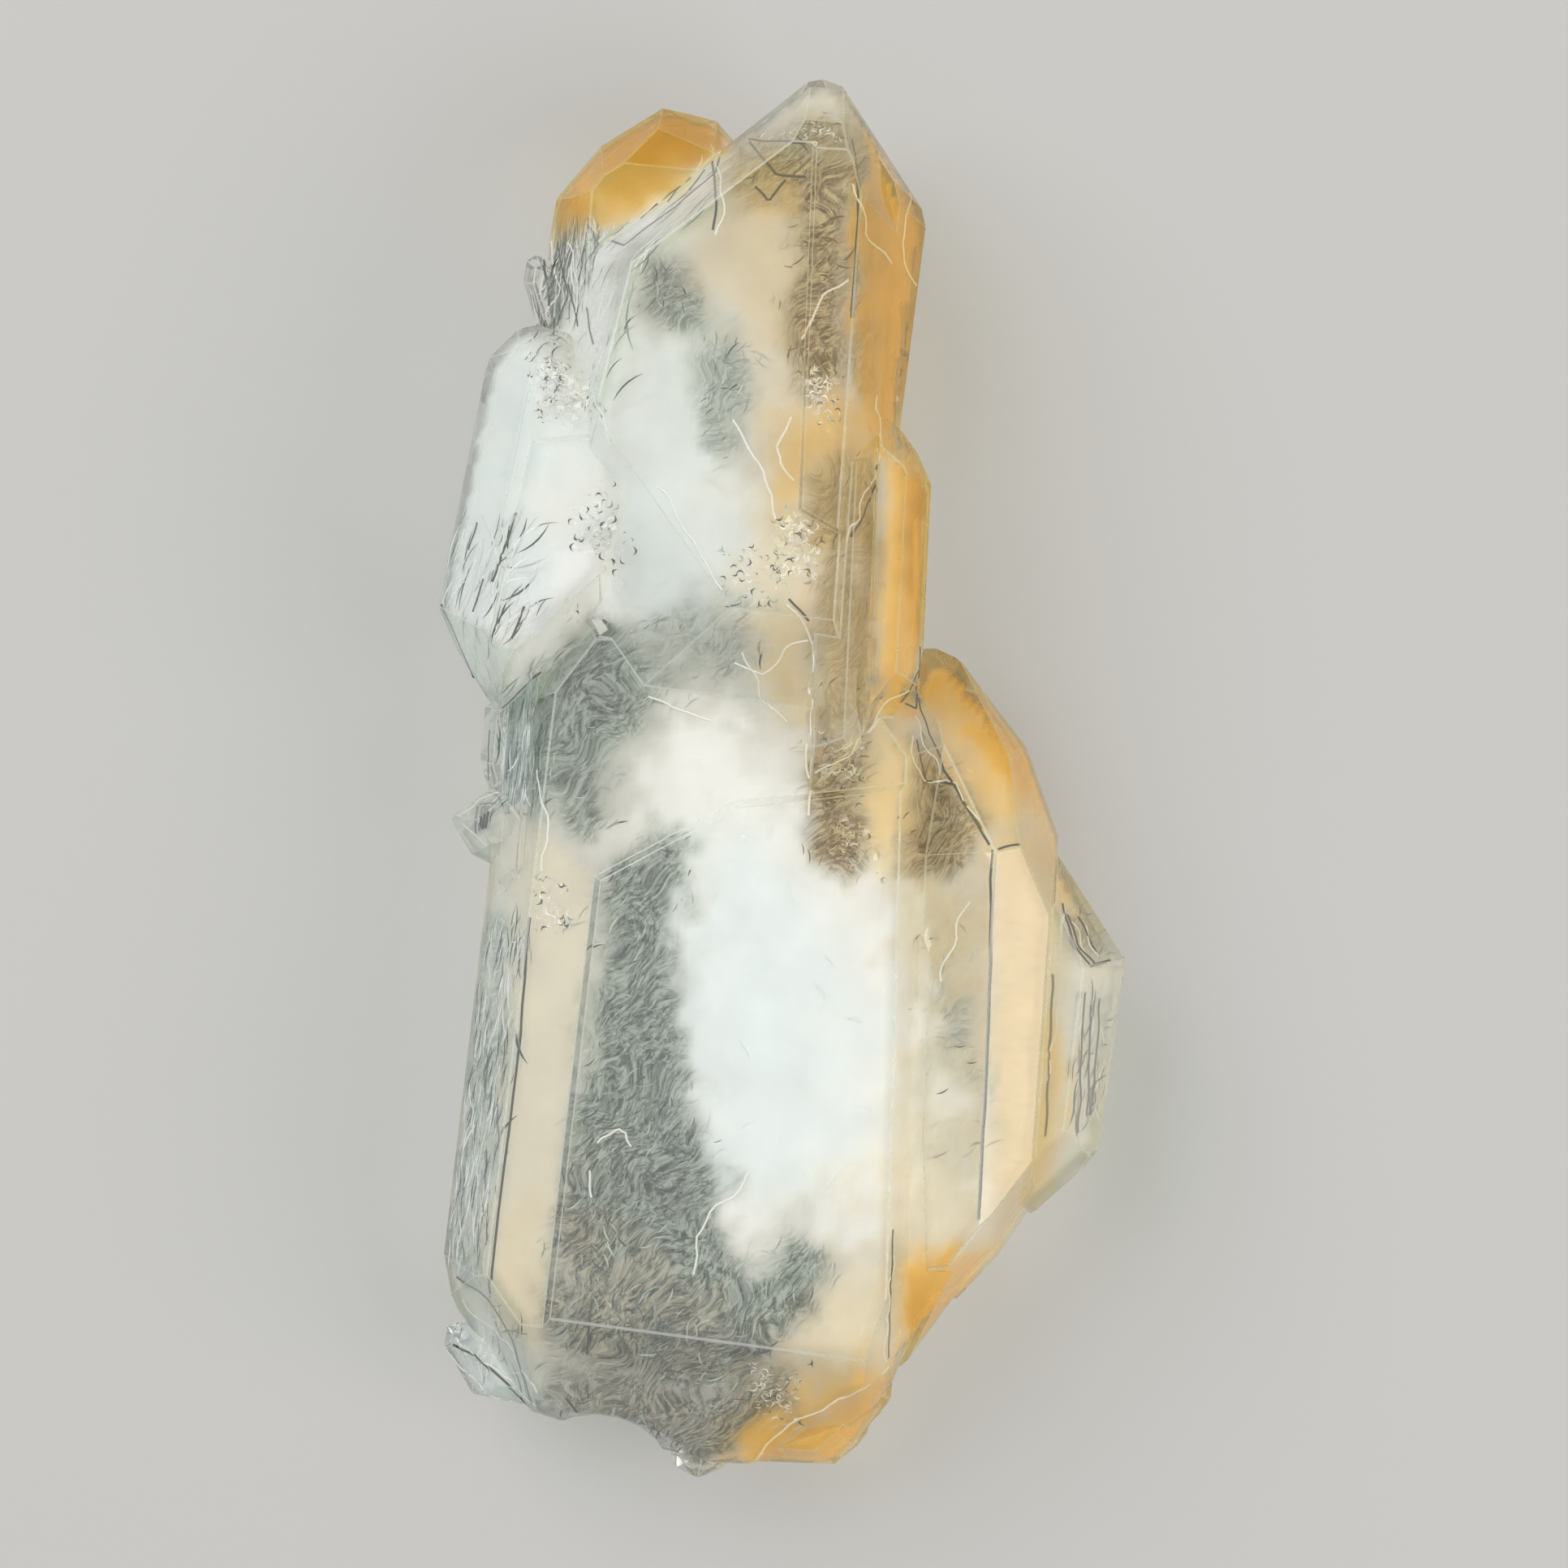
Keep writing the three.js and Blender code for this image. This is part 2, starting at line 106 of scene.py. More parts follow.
AMBER = [
    ([(2.6, 23.4), (4.6, 25.0), (7.0, 21.0), (7.0, 17.6), (5.6, 12.8), (3.4, 11.6), (2.6, 14.0), (2.7, 18.0)],
     0.25, 0.9),
    ([(-0.2, 13.2), (1.4, 14.4), (3.6, 13.2), (3.4, 11.0), (1.2, 11.8), (0.2, 9.2), (-0.6, 10.8)],
     0.6, 0.45),
    ([(3.8, 11.6), (4.6, 13.4), (7.0, 11.8), (7.0, 4.6), (5.2, 2.4), (3.4, 2.4), (3.6, 8.0)], 0.4, 0.85),
    ([(-7.0, 25.4), (-4.4, 26.6), (-1.4, 25.0), (-1.9, 23.2), (-4.2, 21.1), (-6.8, 20.0), (-9.6, 22.4)],
     0.4, 0.9),
    ([(-10.0, 22.8), (-7.0, 22.8), (-6.6, 20.6), (-9.4, 20.6)], 0.6, 0.6),
    ([(4.6, 6.4), (7.4, 7.0), (10.2, 4.0), (12.4, -0.6), (11.6, -1.6), (8.6, -1.0), (6.8, 0.8), (5.4, 3.0)],
     0.8, 0.95),
    ([(8.0, 0.6), (11.4, 0.2), (12.8, -3.6), (9.6, -3.0), (7.8, -2.2)], 0.9, 0.5),
    ([(4.9, 5.4), (4.9, 2.8), (6.0, 0.5), (7.3, -1.6), (9.6, -1.2), (9.2, 1.2), (6.4, 4.8)], 0.35, 0.5),
    ([(3.2, 1.8), (5.0, 1.6), (4.9, -3.0), (3.2, -2.4)], 0.7, 0.4),
    ([(4.2, -17.4), (8.6, -16.8), (10.4, -16.4), (7.4, -20.6), (5.0, -22.4), (4.0, -19.6)], 0.5, 0.9),
    ([(4.9, -20.8), (5.4, -24.0), (2.6, -27.4), (-1.6, -27.4), (-2.2, -24.2), (-0.6, -22.8), (2.0, -22.2)],
     0.9, 0.9),
    ([(-10.4, -15.6), (-8.6, -16.0), (-8.9, -20.8), (-10.8, -19.6)], 1.0, 0.15),
    ([(10.8, -2.2), (13.4, -4.6), (12.2, -5.6), (10.3, -4.4)], 0.4, 0.8),
    ([(9.6, -9.0), (10.4, -9.0), (10.2, -14.0), (9.4, -15.0)], 0.4, 0.5),
    ([(-2.0, 22.2), (0.0, 22.8), (0.8, 21.4), (-0.4, 20.4)], 0.6, 0.7),
]
TAN = [
    ([(1.2, 11.9), (3.3, 11.9), (3.1, 8.6), (1.8, 8.2), (1.0, 8.4)], 0.3, 1.0),
    ([(1.4, 8.8), (3.3, 8.8), (3.2, 4.0), (2.9, 1.6), (1.4, 1.2), (1.2, 5.0)], 0.6, 0.85),
    ([(-0.8, 6.2), (1.2, 6.2), (1.1, 2.4), (0.0, 2.6)], 0.8, 0.45),
    ([(-1.6, -21.8), (0.8, -21.4), (4.2, -21.4), (3.4, -23.0), (-0.6, -24.8), (-2.4, -24.0)], 0.9, 0.7),
    ([(-2.2, 23.8), (2.6, 24.0), (2.6, 22.4), (-2.4, 22.6)], 0.6, 0.6),
    ([(-2.8, 22.8), (2.6, 23.2), (2.8, 14.0), (0.8, 12.8), (-0.6, 15.2), (-2.4, 19.0)], 1.2, 0.36),
    ([(-0.6, 13.6), (3.2, 14.2), (3.2, 10.4), (-0.2, 9.4)], 0.7, 0.6),
    ([(7.7, -2.6), (10.4, -2.4), (10.4, -14.8), (7.4, -17.8)], 0.3, 0.42),
    ([(4.6, -3.4), (7.6, -3.2), (7.4, -8.0), (5.4, -7.4)], 1.2, 0.4),
]
DEEP = [
    ([(4.4, 13.2), (7.6, 12.6), (7.6, 4.4), (4.7, 5.6)], 0.3, 1.0),
    ([(-7.4, 23.8), (-4.4, 25.4), (-2.0, 24.4), (-2.6, 22.8), (-5.8, 21.0)], 0.8, 0.8),
    ([(-8.8, 22.4), (-7.2, 22.8), (-6.8, 20.8), (-8.8, 20.6)], 0.6, 0.8),
    ([(2.6, 21.6), (4.4, 22.0), (4.6, 14.4), (3.4, 12.2), (2.7, 14.2)], 0.5, 0.45),
    ([(4.4, 22.8), (7.2, 20.6), (7.0, 17.6), (6.0, 12.8), (4.2, 13.0), (4.6, 18.0)], 0.5, 0.5),
    ([(6.0, 5.2), (8.8, 1.4), (7.8, 1.2), (5.6, 3.6)], 0.9, 0.25),
    ([(1.0, -24.4), (2.6, -23.8), (2.2, -25.8), (-1.0, -25.9)], 0.8, 0.25),
    ([(4.4, -19.0), (6.2, -18.6), (5.0, -20.4), (4.2, -20.2)], 0.5, 0.3),
]
COOL = [
    ([(-11.0, 16.2), (-9.0, 16.2), (-8.4, 13.6), (-8.8, 9.4), (-8.6, 6.4), (-10.4, 3.6), (-13.0, 6.6),
      (-12.6, 10.4), (-11.4, 14.2)], 1.8, 0.9),
    ([(-3.8, -3.0), (-3.6, -12.0), (-1.6, -15.6), (1.6, -14.6), (3.2, -11.0), (2.4, -6.0), (-0.6, -2.6)],
     1.6, 0.8),
    ([(-10.8, -4.4), (-9.5, -4.8), (-9.9, -10.0), (-10.5, -15.0), (-10.9, -18.8), (-12.5, -18.0),
      (-12.4, -13.0), (-11.6, -8.0)], 0.3, 0.9),
    ([(11.0, -7.4), (12.6, -7.0), (12.4, -13.0), (11.0, -15.6), (10.0, -14.8)], 0.3, 0.8),
    ([(-10.6, -18.6), (-9.0, -21.0), (-8.8, -23.4), (-11.6, -23.6), (-12.8, -20.6)], 0.4, 0.8),
    ([(-10.6, 3.2), (-8.9, 4.4), (-8.9, -1.0), (-10.4, -1.0)], 0.3, 1.0),
    ([(-6.2, 16.6), (-3.4, 16.2), (-2.4, 12.6), (-1.4, 9.0), (-2.4, 5.6), (-6.0, 6.0), (-6.8, 12.6)],
     1.4, 0.7),
]
GREEN_WISP = [
    ([(-8.95, 4.8), (-7.6, 5.8), (-6.0, 5.6), (-4.6, 5.4), (-4.4, 4.0), (-5.4, 2.4), (-6.2, 0.9),
      (-6.8, -0.6), (-7.1, -1.8), (-8.2, -1.4), (-8.95, -1.0)], 0.8, 1.0),
    ([(-5.0, 5.8), (-1.8, 6.8), (-1.4, 5.0), (-3.4, 4.2), (-4.8, 4.0)], 1.0, 0.5),
    ([(-3.6, -1.8), (-3.9, -5.0), (-3.9, -8.4), (-3.4, -12.6), (-1.9, -14.6), (-2.6, -16.6), (-1.4, -18.0),
      (0.8, -17.0), (2.0, -17.4), (1.2, -19.6), (-0.6, -21.4), (-3.8, -22.2), (-6.4, -21.6), (-8.6, -20.6),
      (-8.4, -18.0), (-7.8, -14.6), (-7.4, -11.0), (-6.9, -7.0), (-6.6, -3.8), (-5.2, -2.4)], 0.6, 1.0),
    ([(-8.4, -21.4), (-4.0, -22.0), (0.0, -21.6), (0.6, -23.0), (-1.6, -24.2), (-3.6, -26.2), (-5.0, -25.8),
      (-6.6, -23.8), (-8.4, -23.2)], 0.6, 0.9),
    ([(-5.6, 19.0), (-4.2, 19.2), (-3.0, 18.0), (-2.6, 16.4), (-4.2, 16.8), (-5.4, 17.4)], 0.5, 0.75),
    ([(-3.0, 16.2), (-2.0, 16.4), (-1.2, 14.6), (-1.2, 12.6), (-2.0, 11.8), (-2.8, 13.2)], 0.7, 0.65),
    ([(-3.2, 6.8), (-1.6, 7.0), (-1.0, 5.4), (-1.8, 4.0), (-3.2, 4.6)], 0.8, 0.5),
    ([(5.8, -7.2), (7.4, -8.2), (7.5, -12.0), (6.8, -11.0), (6.0, -9.0)], 0.7, 0.6),
    ([(5.0, -4.4), (7.5, -4.4), (7.5, -14.0), (6.0, -14.4), (5.0, -9.0)], 1.2, 0.15),
    ([(10.5, -5.0), (11.4, -5.3), (12.1, -6.5), (11.2, -6.7)], 0.15, 0.5),
    ([(11.1, -7.8), (12.3, -7.6), (12.1, -12.4), (11.0, -12.9)], 0.2, 0.5),
    ([(-9.2, 20.2), (-7.4, 20.0), (-7.0, 18.2), (-8.2, 16.2), (-9.2, 16.4)], 0.4, 0.95),
]
STREAKS = [
    ([(-11.7, -0.9), (-10.5, -0.7), (-10.5, -2.0), (-11.3, -1.8)], 0.15, 1.0),
    ([(-10.8, -4.8), (-9.6, -5.0), (-10.0, -10.0), (-10.6, -15.0), (-11.0, -18.6), (-12.4, -18.0),
      (-12.3, -14.0), (-11.6, -8.0)], 0.3, 0.75),
    ([(-10.6, 3.0), (-8.9, 4.2), (-8.9, -0.9), (-10.4, -1.0)], 0.25, 0.8),
    ([(-9.0, 20.6), (-7.0, 20.6), (-6.6, 19.4), (-7.4, 17.6), (-8.2, 16.2), (-9.2, 16.4), (-9.4, 18.6)],
     0.4, 1.0),
    ([(10.9, -7.4), (12.2, -7.6), (12.0, -12.6), (10.6, -13.2)], 0.3, 0.4),
]
# Glints: bright streaks just under the faces, painted reflections along the edges.
GLINTS = [
    ([(-6.4, 19.7), (-2.3, 23.2), (-2.2, 21.6), (-3.6, 20.6), (-5.4, 19.0)], 0.3, 1.0),
    ([(-7.4, 18.8), (-5.6, 19.4), (-5.8, 16.4), (-6.6, 14.0), (-8.2, 15.4)], 0.4, 0.5),
    ([(-12.2, 9.6), (-9.6, 9.6), (-9.0, 6.0), (-10.4, 3.2), (-12.4, 6.4)], 0.6, 0.7),
    ([(-12.4, -21.2), (-11.4, -20.6), (-9.2, -23.0), (-10.8, -23.4)], 0.3, 1.0),
    ([(-11.8, -18.4), (-10.4, -18.8), (-9.2, -21.8), (-9.4, -22.8), (-11.0, -20.8)], 0.3, 0.9),
]
CRUMBS = [
    ([(-9.0, 15.6), (-7.2, 15.6), (-7.0, 13.6), (-8.8, 13.6)], 0.5, 1.0),
    ([(-7.4, 10.2), (-6.0, 10.4), (-5.8, 8.6), (-7.6, 7.8)], 0.5, 0.8),
    ([(0.0, 9.6), (1.4, 9.2), (1.2, 7.8), (-0.4, 7.6)], 0.4, 1.0),
    ([(-2.0, 8.4), (0.0, 8.0), (-0.4, 6.6), (-2.0, 6.6)], 0.5, 0.5),
    ([(0.8, 15.2), (2.2, 14.8), (2.0, 13.6), (0.8, 13.6)], 0.4, 0.8),
    ([(1.2, 1.8), (2.8, 1.6), (2.8, -0.4), (1.4, -0.4)], 0.5, 0.5),
    ([(2.0, -1.2), (3.2, -1.2), (3.2, -3.2), (2.0, -3.2)], 0.5, 0.5),
    ([(-9.0, -3.6), (-7.8, -3.6), (-7.8, -5.4), (-9.0, -5.4)], 0.4, 0.5),
    ([(-0.6, 24.2), (2.4, 24.4), (2.4, 23.2), (-0.8, 23.2)], 0.4, 0.5),
    ([(-1.4, -21.4), (0.6, -21.6), (0.4, -23.2), (-1.6, -23.0)], 0.4, 0.7),
]
BROWN_WISP = [
    ([(0.2, 22.9), (2.5, 23.2), (2.5, 19.0), (2.3, 14.6), (1.2, 14.2), (0.4, 14.8), (0.0, 17.0),
      (0.8, 19.0), (0.2, 21.0)], 0.4, 1.0),
    ([(-2.0, 23.5), (2.4, 23.6), (2.4, 21.4), (0.4, 20.8), (-1.6, 21.4)], 0.6, 0.7),
    ([(1.2, 11.8), (3.2, 11.8), (3.0, 8.6), (1.0, 8.4)], 0.4, 0.45),
    ([(1.4, 8.6), (3.1, 8.8), (3.1, 4.0), (2.9, 1.6), (1.4, 1.2), (1.2, 5.0)], 0.5, 0.4),
    ([(0.9, 1.4), (3.0, 1.4), (3.1, -1.8), (2.6, -3.6), (0.9, -2.6)], 0.4, 1.0),
    ([(4.5, 1.8), (5.6, 0.8), (7.2, -1.4), (7.2, -2.2), (6.4, -3.2), (4.5, -3.8)], 0.4, 1.0),
    ([(10.3, -4.8), (11.4, -5.0), (12.1, -6.6), (11.0, -6.6)], 0.2, 0.5),
]
OLIVE = [
    ([(-8.9, -12.6), (-7.4, -13.0), (-6.6, -16.0), (-4.6, -18.4), (-2.0, -19.8), (1.4, -19.2), (1.2, -21.0),
      (-1.0, -22.4), (-0.4, -24.4), (-3.6, -26.2), (-5.0, -25.8), (-8.6, -24.0), (-9.0, -20.0)], 1.2, 1.0),
    ([(-5.8, 19.2), (-4.2, 20.2), (-2.8, 18.4), (-3.4, 17.4), (-5.2, 18.0)], 0.8, 0.6),
    ([(-3.4, 8.4), (0.4, 7.6), (0.4, 4.6), (-2.4, 4.2)], 1.2, 0.4),
]
DARK_FELT = [
    ([(-8.4, 5.0), (-7.2, 5.6), (-6.2, 4.6), (-6.4, 2.8), (-8.2, 2.6)], 0.9, 0.9),
    ([(-8.7, 0.8), (-6.2, 0.6), (-5.8, -1.0), (-8.2, -1.0)], 0.8, 0.6),
    ([(-6.9, -3.5), (-3.5, -1.7), (-3.7, -2.7), (-6.9, -4.6)], 0.5, 0.8),
    ([(-6.8, -5.6), (-5.8, -5.8), (-6.2, -8.6), (-7.2, -8.4)], 0.7, 0.6),
    ([(-5.0, -7.8), (-4.2, -8.0), (-4.0, -12.2), (-5.2, -11.6)], 0.8, 0.6),
    ([(-6.2, -12.8), (-3.4, -12.6), (-2.4, -15.4), (-4.4, -16.4), (-6.2, -15.4)], 1.0, 0.7),
    ([(-6.2, -20.0), (-4.0, -19.8), (-2.6, -21.6), (-1.8, -22.8), (-3.8, -22.4), (-5.6, -21.4)], 0.7, 1.0),
    ([(4.6, -0.4), (6.2, -0.4), (7.0, -1.8), (6.0, -2.8), (4.6, -2.4)], 0.6, 0.5),
    ([(1.2, 0.6), (2.8, 0.6), (2.6, -0.8), (1.2, -0.8)], 0.5, 0.3),
    ([(-5.2, 18.8), (-4.2, 18.8), (-3.8, 17.6), (-5.2, 17.4)], 0.5, 0.8),
    ([(-9.2, 20.2), (-7.4, 20.0), (-7.0, 18.2), (-8.2, 16.2), (-9.2, 16.4)], 0.5, 1.0),
    ([(-8.8, -17.0), (-7.4, -17.4), (-7.6, -21.4), (-8.8, -21.2)], 0.9, 0.5),
    ([(10.4, -4.8), (11.4, -5.1), (12.1, -6.6), (11.1, -6.7)], 0.15, 1.0),
    ([(11.2, -8.0), (12.1, -7.8), (11.7, -10.4), (11.1, -10.4)], 0.3, 0.8),
]
# Faces that are frosted, and faces painted white as a painted glare where they face the window light.
FROST_AND_GLARE = [
    ([(-6.6, 19.7), (-2.3, 23.6), (-2.2, 22.0), (-3.6, 20.9), (-5.6, 19.4)], 0.3, 1.0),
    ([(-7.4, 20.0), (-5.8, 19.6), (-5.9, 16.4), (-6.5, 14.2), (-7.2, 14.4)], 0.3, 0.9),
    ([(-0.2, 24.6), (1.2, 25.9), (2.4, 25.2), (2.8, 23.9), (1.2, 24.3)], 0.4, 0.5),
    ([(-11.6, 7.0), (-9.8, 7.6), (-8.8, 5.4), (-10.3, 2.7)], 0.6, 0.8),
    ([(-9.6, 8.6), (-7.0, 8.6), (-6.2, 6.8), (-7.6, 5.0), (-9.2, 4.8)], 0.8, 0.6),
    ([(-12.3, -0.9), (-11.4, 0.0), (-10.5, -0.3), (-10.5, -2.8), (-11.8, -2.3)], 0.3, 0.6),
    ([(9.8, -4.4), (10.5, -6.2), (12.6, -6.4), (12.8, -12.8), (10.6, -15.4), (9.8, -15.6), (10.0, -9.0)],
     0.3, 0.5),
    ([(-12.0, -18.6), (-10.6, -19.4), (-9.2, -23.0), (-10.4, -22.6), (-11.6, -20.8)], 0.4, 0.6),
    ([(4.1, -3.2), (4.9, -3.2), (4.9, 2.2), (4.1, 2.2)], 0.3, 0.3),
]

# Paths of the healed cracks, and of the dark lines of painted shade beside edges, as (x, y) in millimetres.
CRACKS = [
    [(0.3, 13.4), (-0.3, 12.2), (0.5, 11.1)],
    [(-2.4, 23.1), (-2.2, 21.2), (-2.3, 20.0)],
    [(0.0, 6.6), (0.7, 5.9), (1.1, 5.0), (1.0, 1.0), (0.9, -1.2)],
    [(-3.3, -18.0), (-2.9, -16.2), (-1.2, -14.4)],
    [(3.5, 14.3), (3.6, 11.8), (2.9, 10.2), (2.3, 8.7)],
    [(-4.6, 10.7), (-3.4, 9.0), (-2.2, 7.1)],
    [(3.7, -21.4), (3.9, -19.0), (4.0, -17.2)],
    [(3.7, -21.7), (2.0, -22.9), (0.1, -23.7), (-1.1, -25.2)],
    [(4.9, 2.4), (5.4, 1.2), (5.9, 0.3)],
    [(1.2, 0.4), (2.4, 1.2), (3.6, 2.6), (4.6, 3.6)],
    [(5.9, -7.3), (6.2, -6.2), (6.8, -4.4)],
    [(-8.9, 0.4), (-8.7, -1.6), (-8.9, -3.4)],
    [(-10.9, 10.0), (-10.3, 8.2), (-10.6, 6.8)],
    [(-10.2, 9.2), (-10.0, 7.6), (-10.7, 6.0)],
    [(-6.9, 14.2), (-6.4, 13.4), (-6.2, 12.2)],
    [(10.4, -4.6), (10.2, -8.0), (9.8, -11.0)],
    [(-1.4, 4.8), (-0.9, 3.2), (0.2, 2.2)],
    [(-1.8, 4.4), (-0.8, 4.0), (0.9, 5.2)],
    [(2.6, 21.8), (2.9, 20.2), (4.0, 18.9)],
    [(4.6, 21.6), (4.4, 20.0), (4.7, 18.4)],
    [(-1.9, 13.3), (-0.6, 11.0), (-0.2, 9.4)],
    [(-12.6, -21.0), (-11.4, -22.4), (-9.4, -23.4)],
    [(-12.2, -20.6), (-10.8, -21.6), (-9.2, -23.0)],
    [(-11.8, -19.2), (-10.2, -20.6), (-9.1, -22.6)],
    [(-6.8, -13.3), (-6.2, -12.7), (-5.7, -12.8), (-5.4, -13.3)],
    [(-7.2, -14.4), (-7.0, -15.4)],
    [(0.6, 16.2), (1.4, 17.6), (2.4, 18.3)],
    [(4.6, 1.6), (5.1, 0.2), (6.2, 0.0), (7.2, -1.4)],
    [(-5.0, 3.0), (-3.6, 2.6), (-2.6, 2.3)],
    [(10.6, -5.1), (11.2, -6.3)],
    [(11.1, -5.3), (11.7, -6.4)],
    [(-11.9, -1.3), (-11.2, -0.6), (-10.5, -0.5)],
    [(-11.9, -1.5), (-11.2, -2.2), (-10.5, -2.5)],
    [(-8.6, 20.2), (-8.3, 18.2), (-8.7, 16.8)],
    [(-7.8, 19.8), (-7.5, 18.0), (-7.8, 16.6)],
]
SHADE_LINES = [
    [(-9.3, -5.0), (-9.7, -10.1), (-10.4, -15.5), (-10.75, -18.8)],
    [(-12.5, 6.5), (-10.9, 2.8)],
    [(-10.4, 2.7), (-8.9, 4.1)],
    [(-11.3, -1.9), (-11.25, -0.9)],
    [(-11.2, -0.85), (-10.6, -0.85)],
    [(-11.15, -1.8), (-11.1, -0.95)],
    [(-11.05, -1.75), (-11.0, -0.95)],
    [(-10.95, -1.7), (-10.9, -0.95)],
    [(-6.5, 19.9), (-5.8, 19.6), (-4.0, 20.9), (-2.4, 22.3), (-2.15, 23.4)],
    [(-5.2, 20.6), (-4.4, 21.4)],
    [(-4.2, 21.2), (-3.4, 22.2)],
    [(-3.4, 21.6), (-2.8, 22.4)],
    [(-1.5, 23.6), (-0.7, 23.4), (0.8, 23.3)],
    [(-1.2, 23.4), (-0.2, 22.1), (0.9, 22.0)],
    [(-1.0, 21.7), (-0.5, 21.2), (0.1, 21.9)],
    [(2.5, 23.4), (2.75, 21.7), (2.65, 19.0), (2.5, 16.9)],
    [(-7.9, 18.4), (-7.5, 16.8)],
    [(-8.9, 19.6), (-8.6, 17.6)],
    [(-8.3, 20.0), (-7.9, 18.0), (-8.4, 16.6)],
    [(-7.2, 17.6), (-6.9, 16.0)],
    [(4.3, 2.9), (5.0, 4.1), (4.9, 2.7), (4.3, 2.9)],
    [(4.9, 1.5), (5.2, 0.1), (6.3, -0.1), (7.3, -1.7)],
    [(7.9, -2.5), (9.6, -2.1)],
    [(7.7, -2.5), (7.55, -9.2), (7.2, -16.1)],
    [(10.3, -4.5), (10.7, -6.0), (11.3, -6.8), (12.1, -6.6)],
    [(11.1, -7.8), (10.9, -13.0)],
    [(11.7, -8.0), (11.4, -12.4)],
    [(10.0, -7.1), (9.75, -13.1)],
    [(-12.0, -18.3), (-10.9, -18.9), (-10.0, -20.3), (-9.25, -23.0)],
    [(-12.2, -20.9), (-11.4, -21.2), (-10.5, -22.0), (-9.4, -23.1)],
    [(4.0, -16.4), (3.85, -21.2)],
    [(-9.7, 9.8), (-10.1, 8.6), (-10.6, 7.3)],
    [(-11.2, 9.5), (-11.5, 8.5)],
    [(-10.9, 7.4), (-11.3, 6.2)],
    [(-9.4, 6.4), (-9.9, 5.2)],
    [(-10.8, 1.9), (-10.85, 0.1)],
    [(-7.0, -19.0), (-7.2, -21.0)],
    [(-8.0, -22.7), (-7.6, -23.3)],
    [(3.5, 11.6), (3.2, 10.4), (2.5, 8.9)],
    [(0.2, 6.7), (0.95, 5.9)],
    [(-2.55, 23.0), (-2.4, 21.3), (-2.5, 20.1)],
    [(10.5, -4.9), (10.9, -6.1), (11.5, -6.7)],
    [(10.9, -5.0), (11.6, -6.3)],
    [(11.35, -8.2), (11.25, -12.4)],
    [(5.0, 5.0), (5.0, 2.8), (6.0, 0.4), (7.6, -2.3)],
]

# How quartz bends light, how much of the lamps' light a face lets through, and how much the films hide.
QUARTZ_IOR = 1.544
LAMPLIGHT_THROUGH = (0.74, 0.74, 0.74, 1)
VEIL_OPACITY = 0.95
FLAKE_OPACITY = 0.6

# Colours of the films inside.
PALE_HAZE = (0.88, 0.87, 0.79)
WHITE_MILK = (0.97, 0.98, 0.94)
# White of the frost, and of the painted glare on facets that face the light.
FROST_AND_GLARE_WHITE = (0.98, 0.98, 0.99)
COOL_MILK = (0.90, 0.96, 0.96)
CREAM_MILK = (0.98, 0.88, 0.66)
AMBER_MILK = (0.98, 0.60, 0.08)
DEEP_STAIN = (0.62, 0.34, 0.015)
GREEN_SHADE = (0.115, 0.21, 0.14)
OLIVE_SHADE = (0.165, 0.155, 0.055)
BROWN_SHADE = (0.37, 0.255, 0.075)
TAN_STAIN = (0.70, 0.48, 0.17)
# Dark lines of painted shade beside edges.
PAINTED_SHADE_LINE = (0.06, 0.065, 0.05)
DARK_GREEN_WISP = (0.045, 0.085, 0.065)
PALE_GREEN_WISP = (0.46, 0.56, 0.48)
DARK_BROWN_WISP = (0.20, 0.13, 0.04)
PALE_BROWN_WISP = (0.62, 0.50, 0.28)
# Pale crumbs and streaks, and the painted reflection of the glints.
BRIGHT_WISP_AND_GLINT = (0.97, 0.97, 0.93)


def zone_reader(x, y, layer=0.0):
    """A function that says how far places, in millimetres, lie in any zone of a list.

    It gives a zone's strength inside, 0 outside, and feathery values between, which differ by layer.
    """
    noise.seed_set(SWAY_SEED)
    sway = np.array([
        1.6 * noise.noise_vector(Vector((a, b, 4 * layer)) / 2.4)
        + 1.2 * noise.noise_vector(Vector((a, b, 9 * layer)) / 0.8)
        for a, b in zip(x, y)])

    def amount(zones):
        best = np.zeros(len(x))
        for outline, softness, strength in zones:
            near = in_outline(outline, softness, x + softness * sway[:, 0], y + softness * sway[:, 1])
            best = np.maximum(best, strength * near)
        return best

    return amount


def in_outline(outline, softness, x, y):
    """How far places lie inside a closed outline: 1 inside, 0 outside, and a smooth step over its border."""
    distance = np.full(len(x), np.inf)
    inside = np.zeros(len(x), bool)
    for (ax, ay), (bx, by) in zip(outline, outline[1:] + outline[:1]):
        share = ((x - ax) * (bx - ax) + (y - ay) * (by - ay)) / ((bx - ax) ** 2 + (by - ay) ** 2)
        share = np.clip(share, 0, 1)
        distance = np.minimum(distance, np.hypot(x - ax - share * (bx - ax), y - ay - share * (by - ay)))
        crossing = ax + (y - ay) * (bx - ax) / (by - ay or 1)
        inside ^= ((ay > y) != (by > y)) & (x < crossing)
    near = np.clip(0.5 + 0.5 * np.where(inside, distance, -distance) / softness, 0, 1)
    return near * near * (3 - 2 * near)


def mixed(colours, tint, amount):
    """Each colour turned towards one tint by its own amount."""
    amount = np.asarray(amount)[:, None]
    return colours * (1 - amount) + np.array(tint) * amount


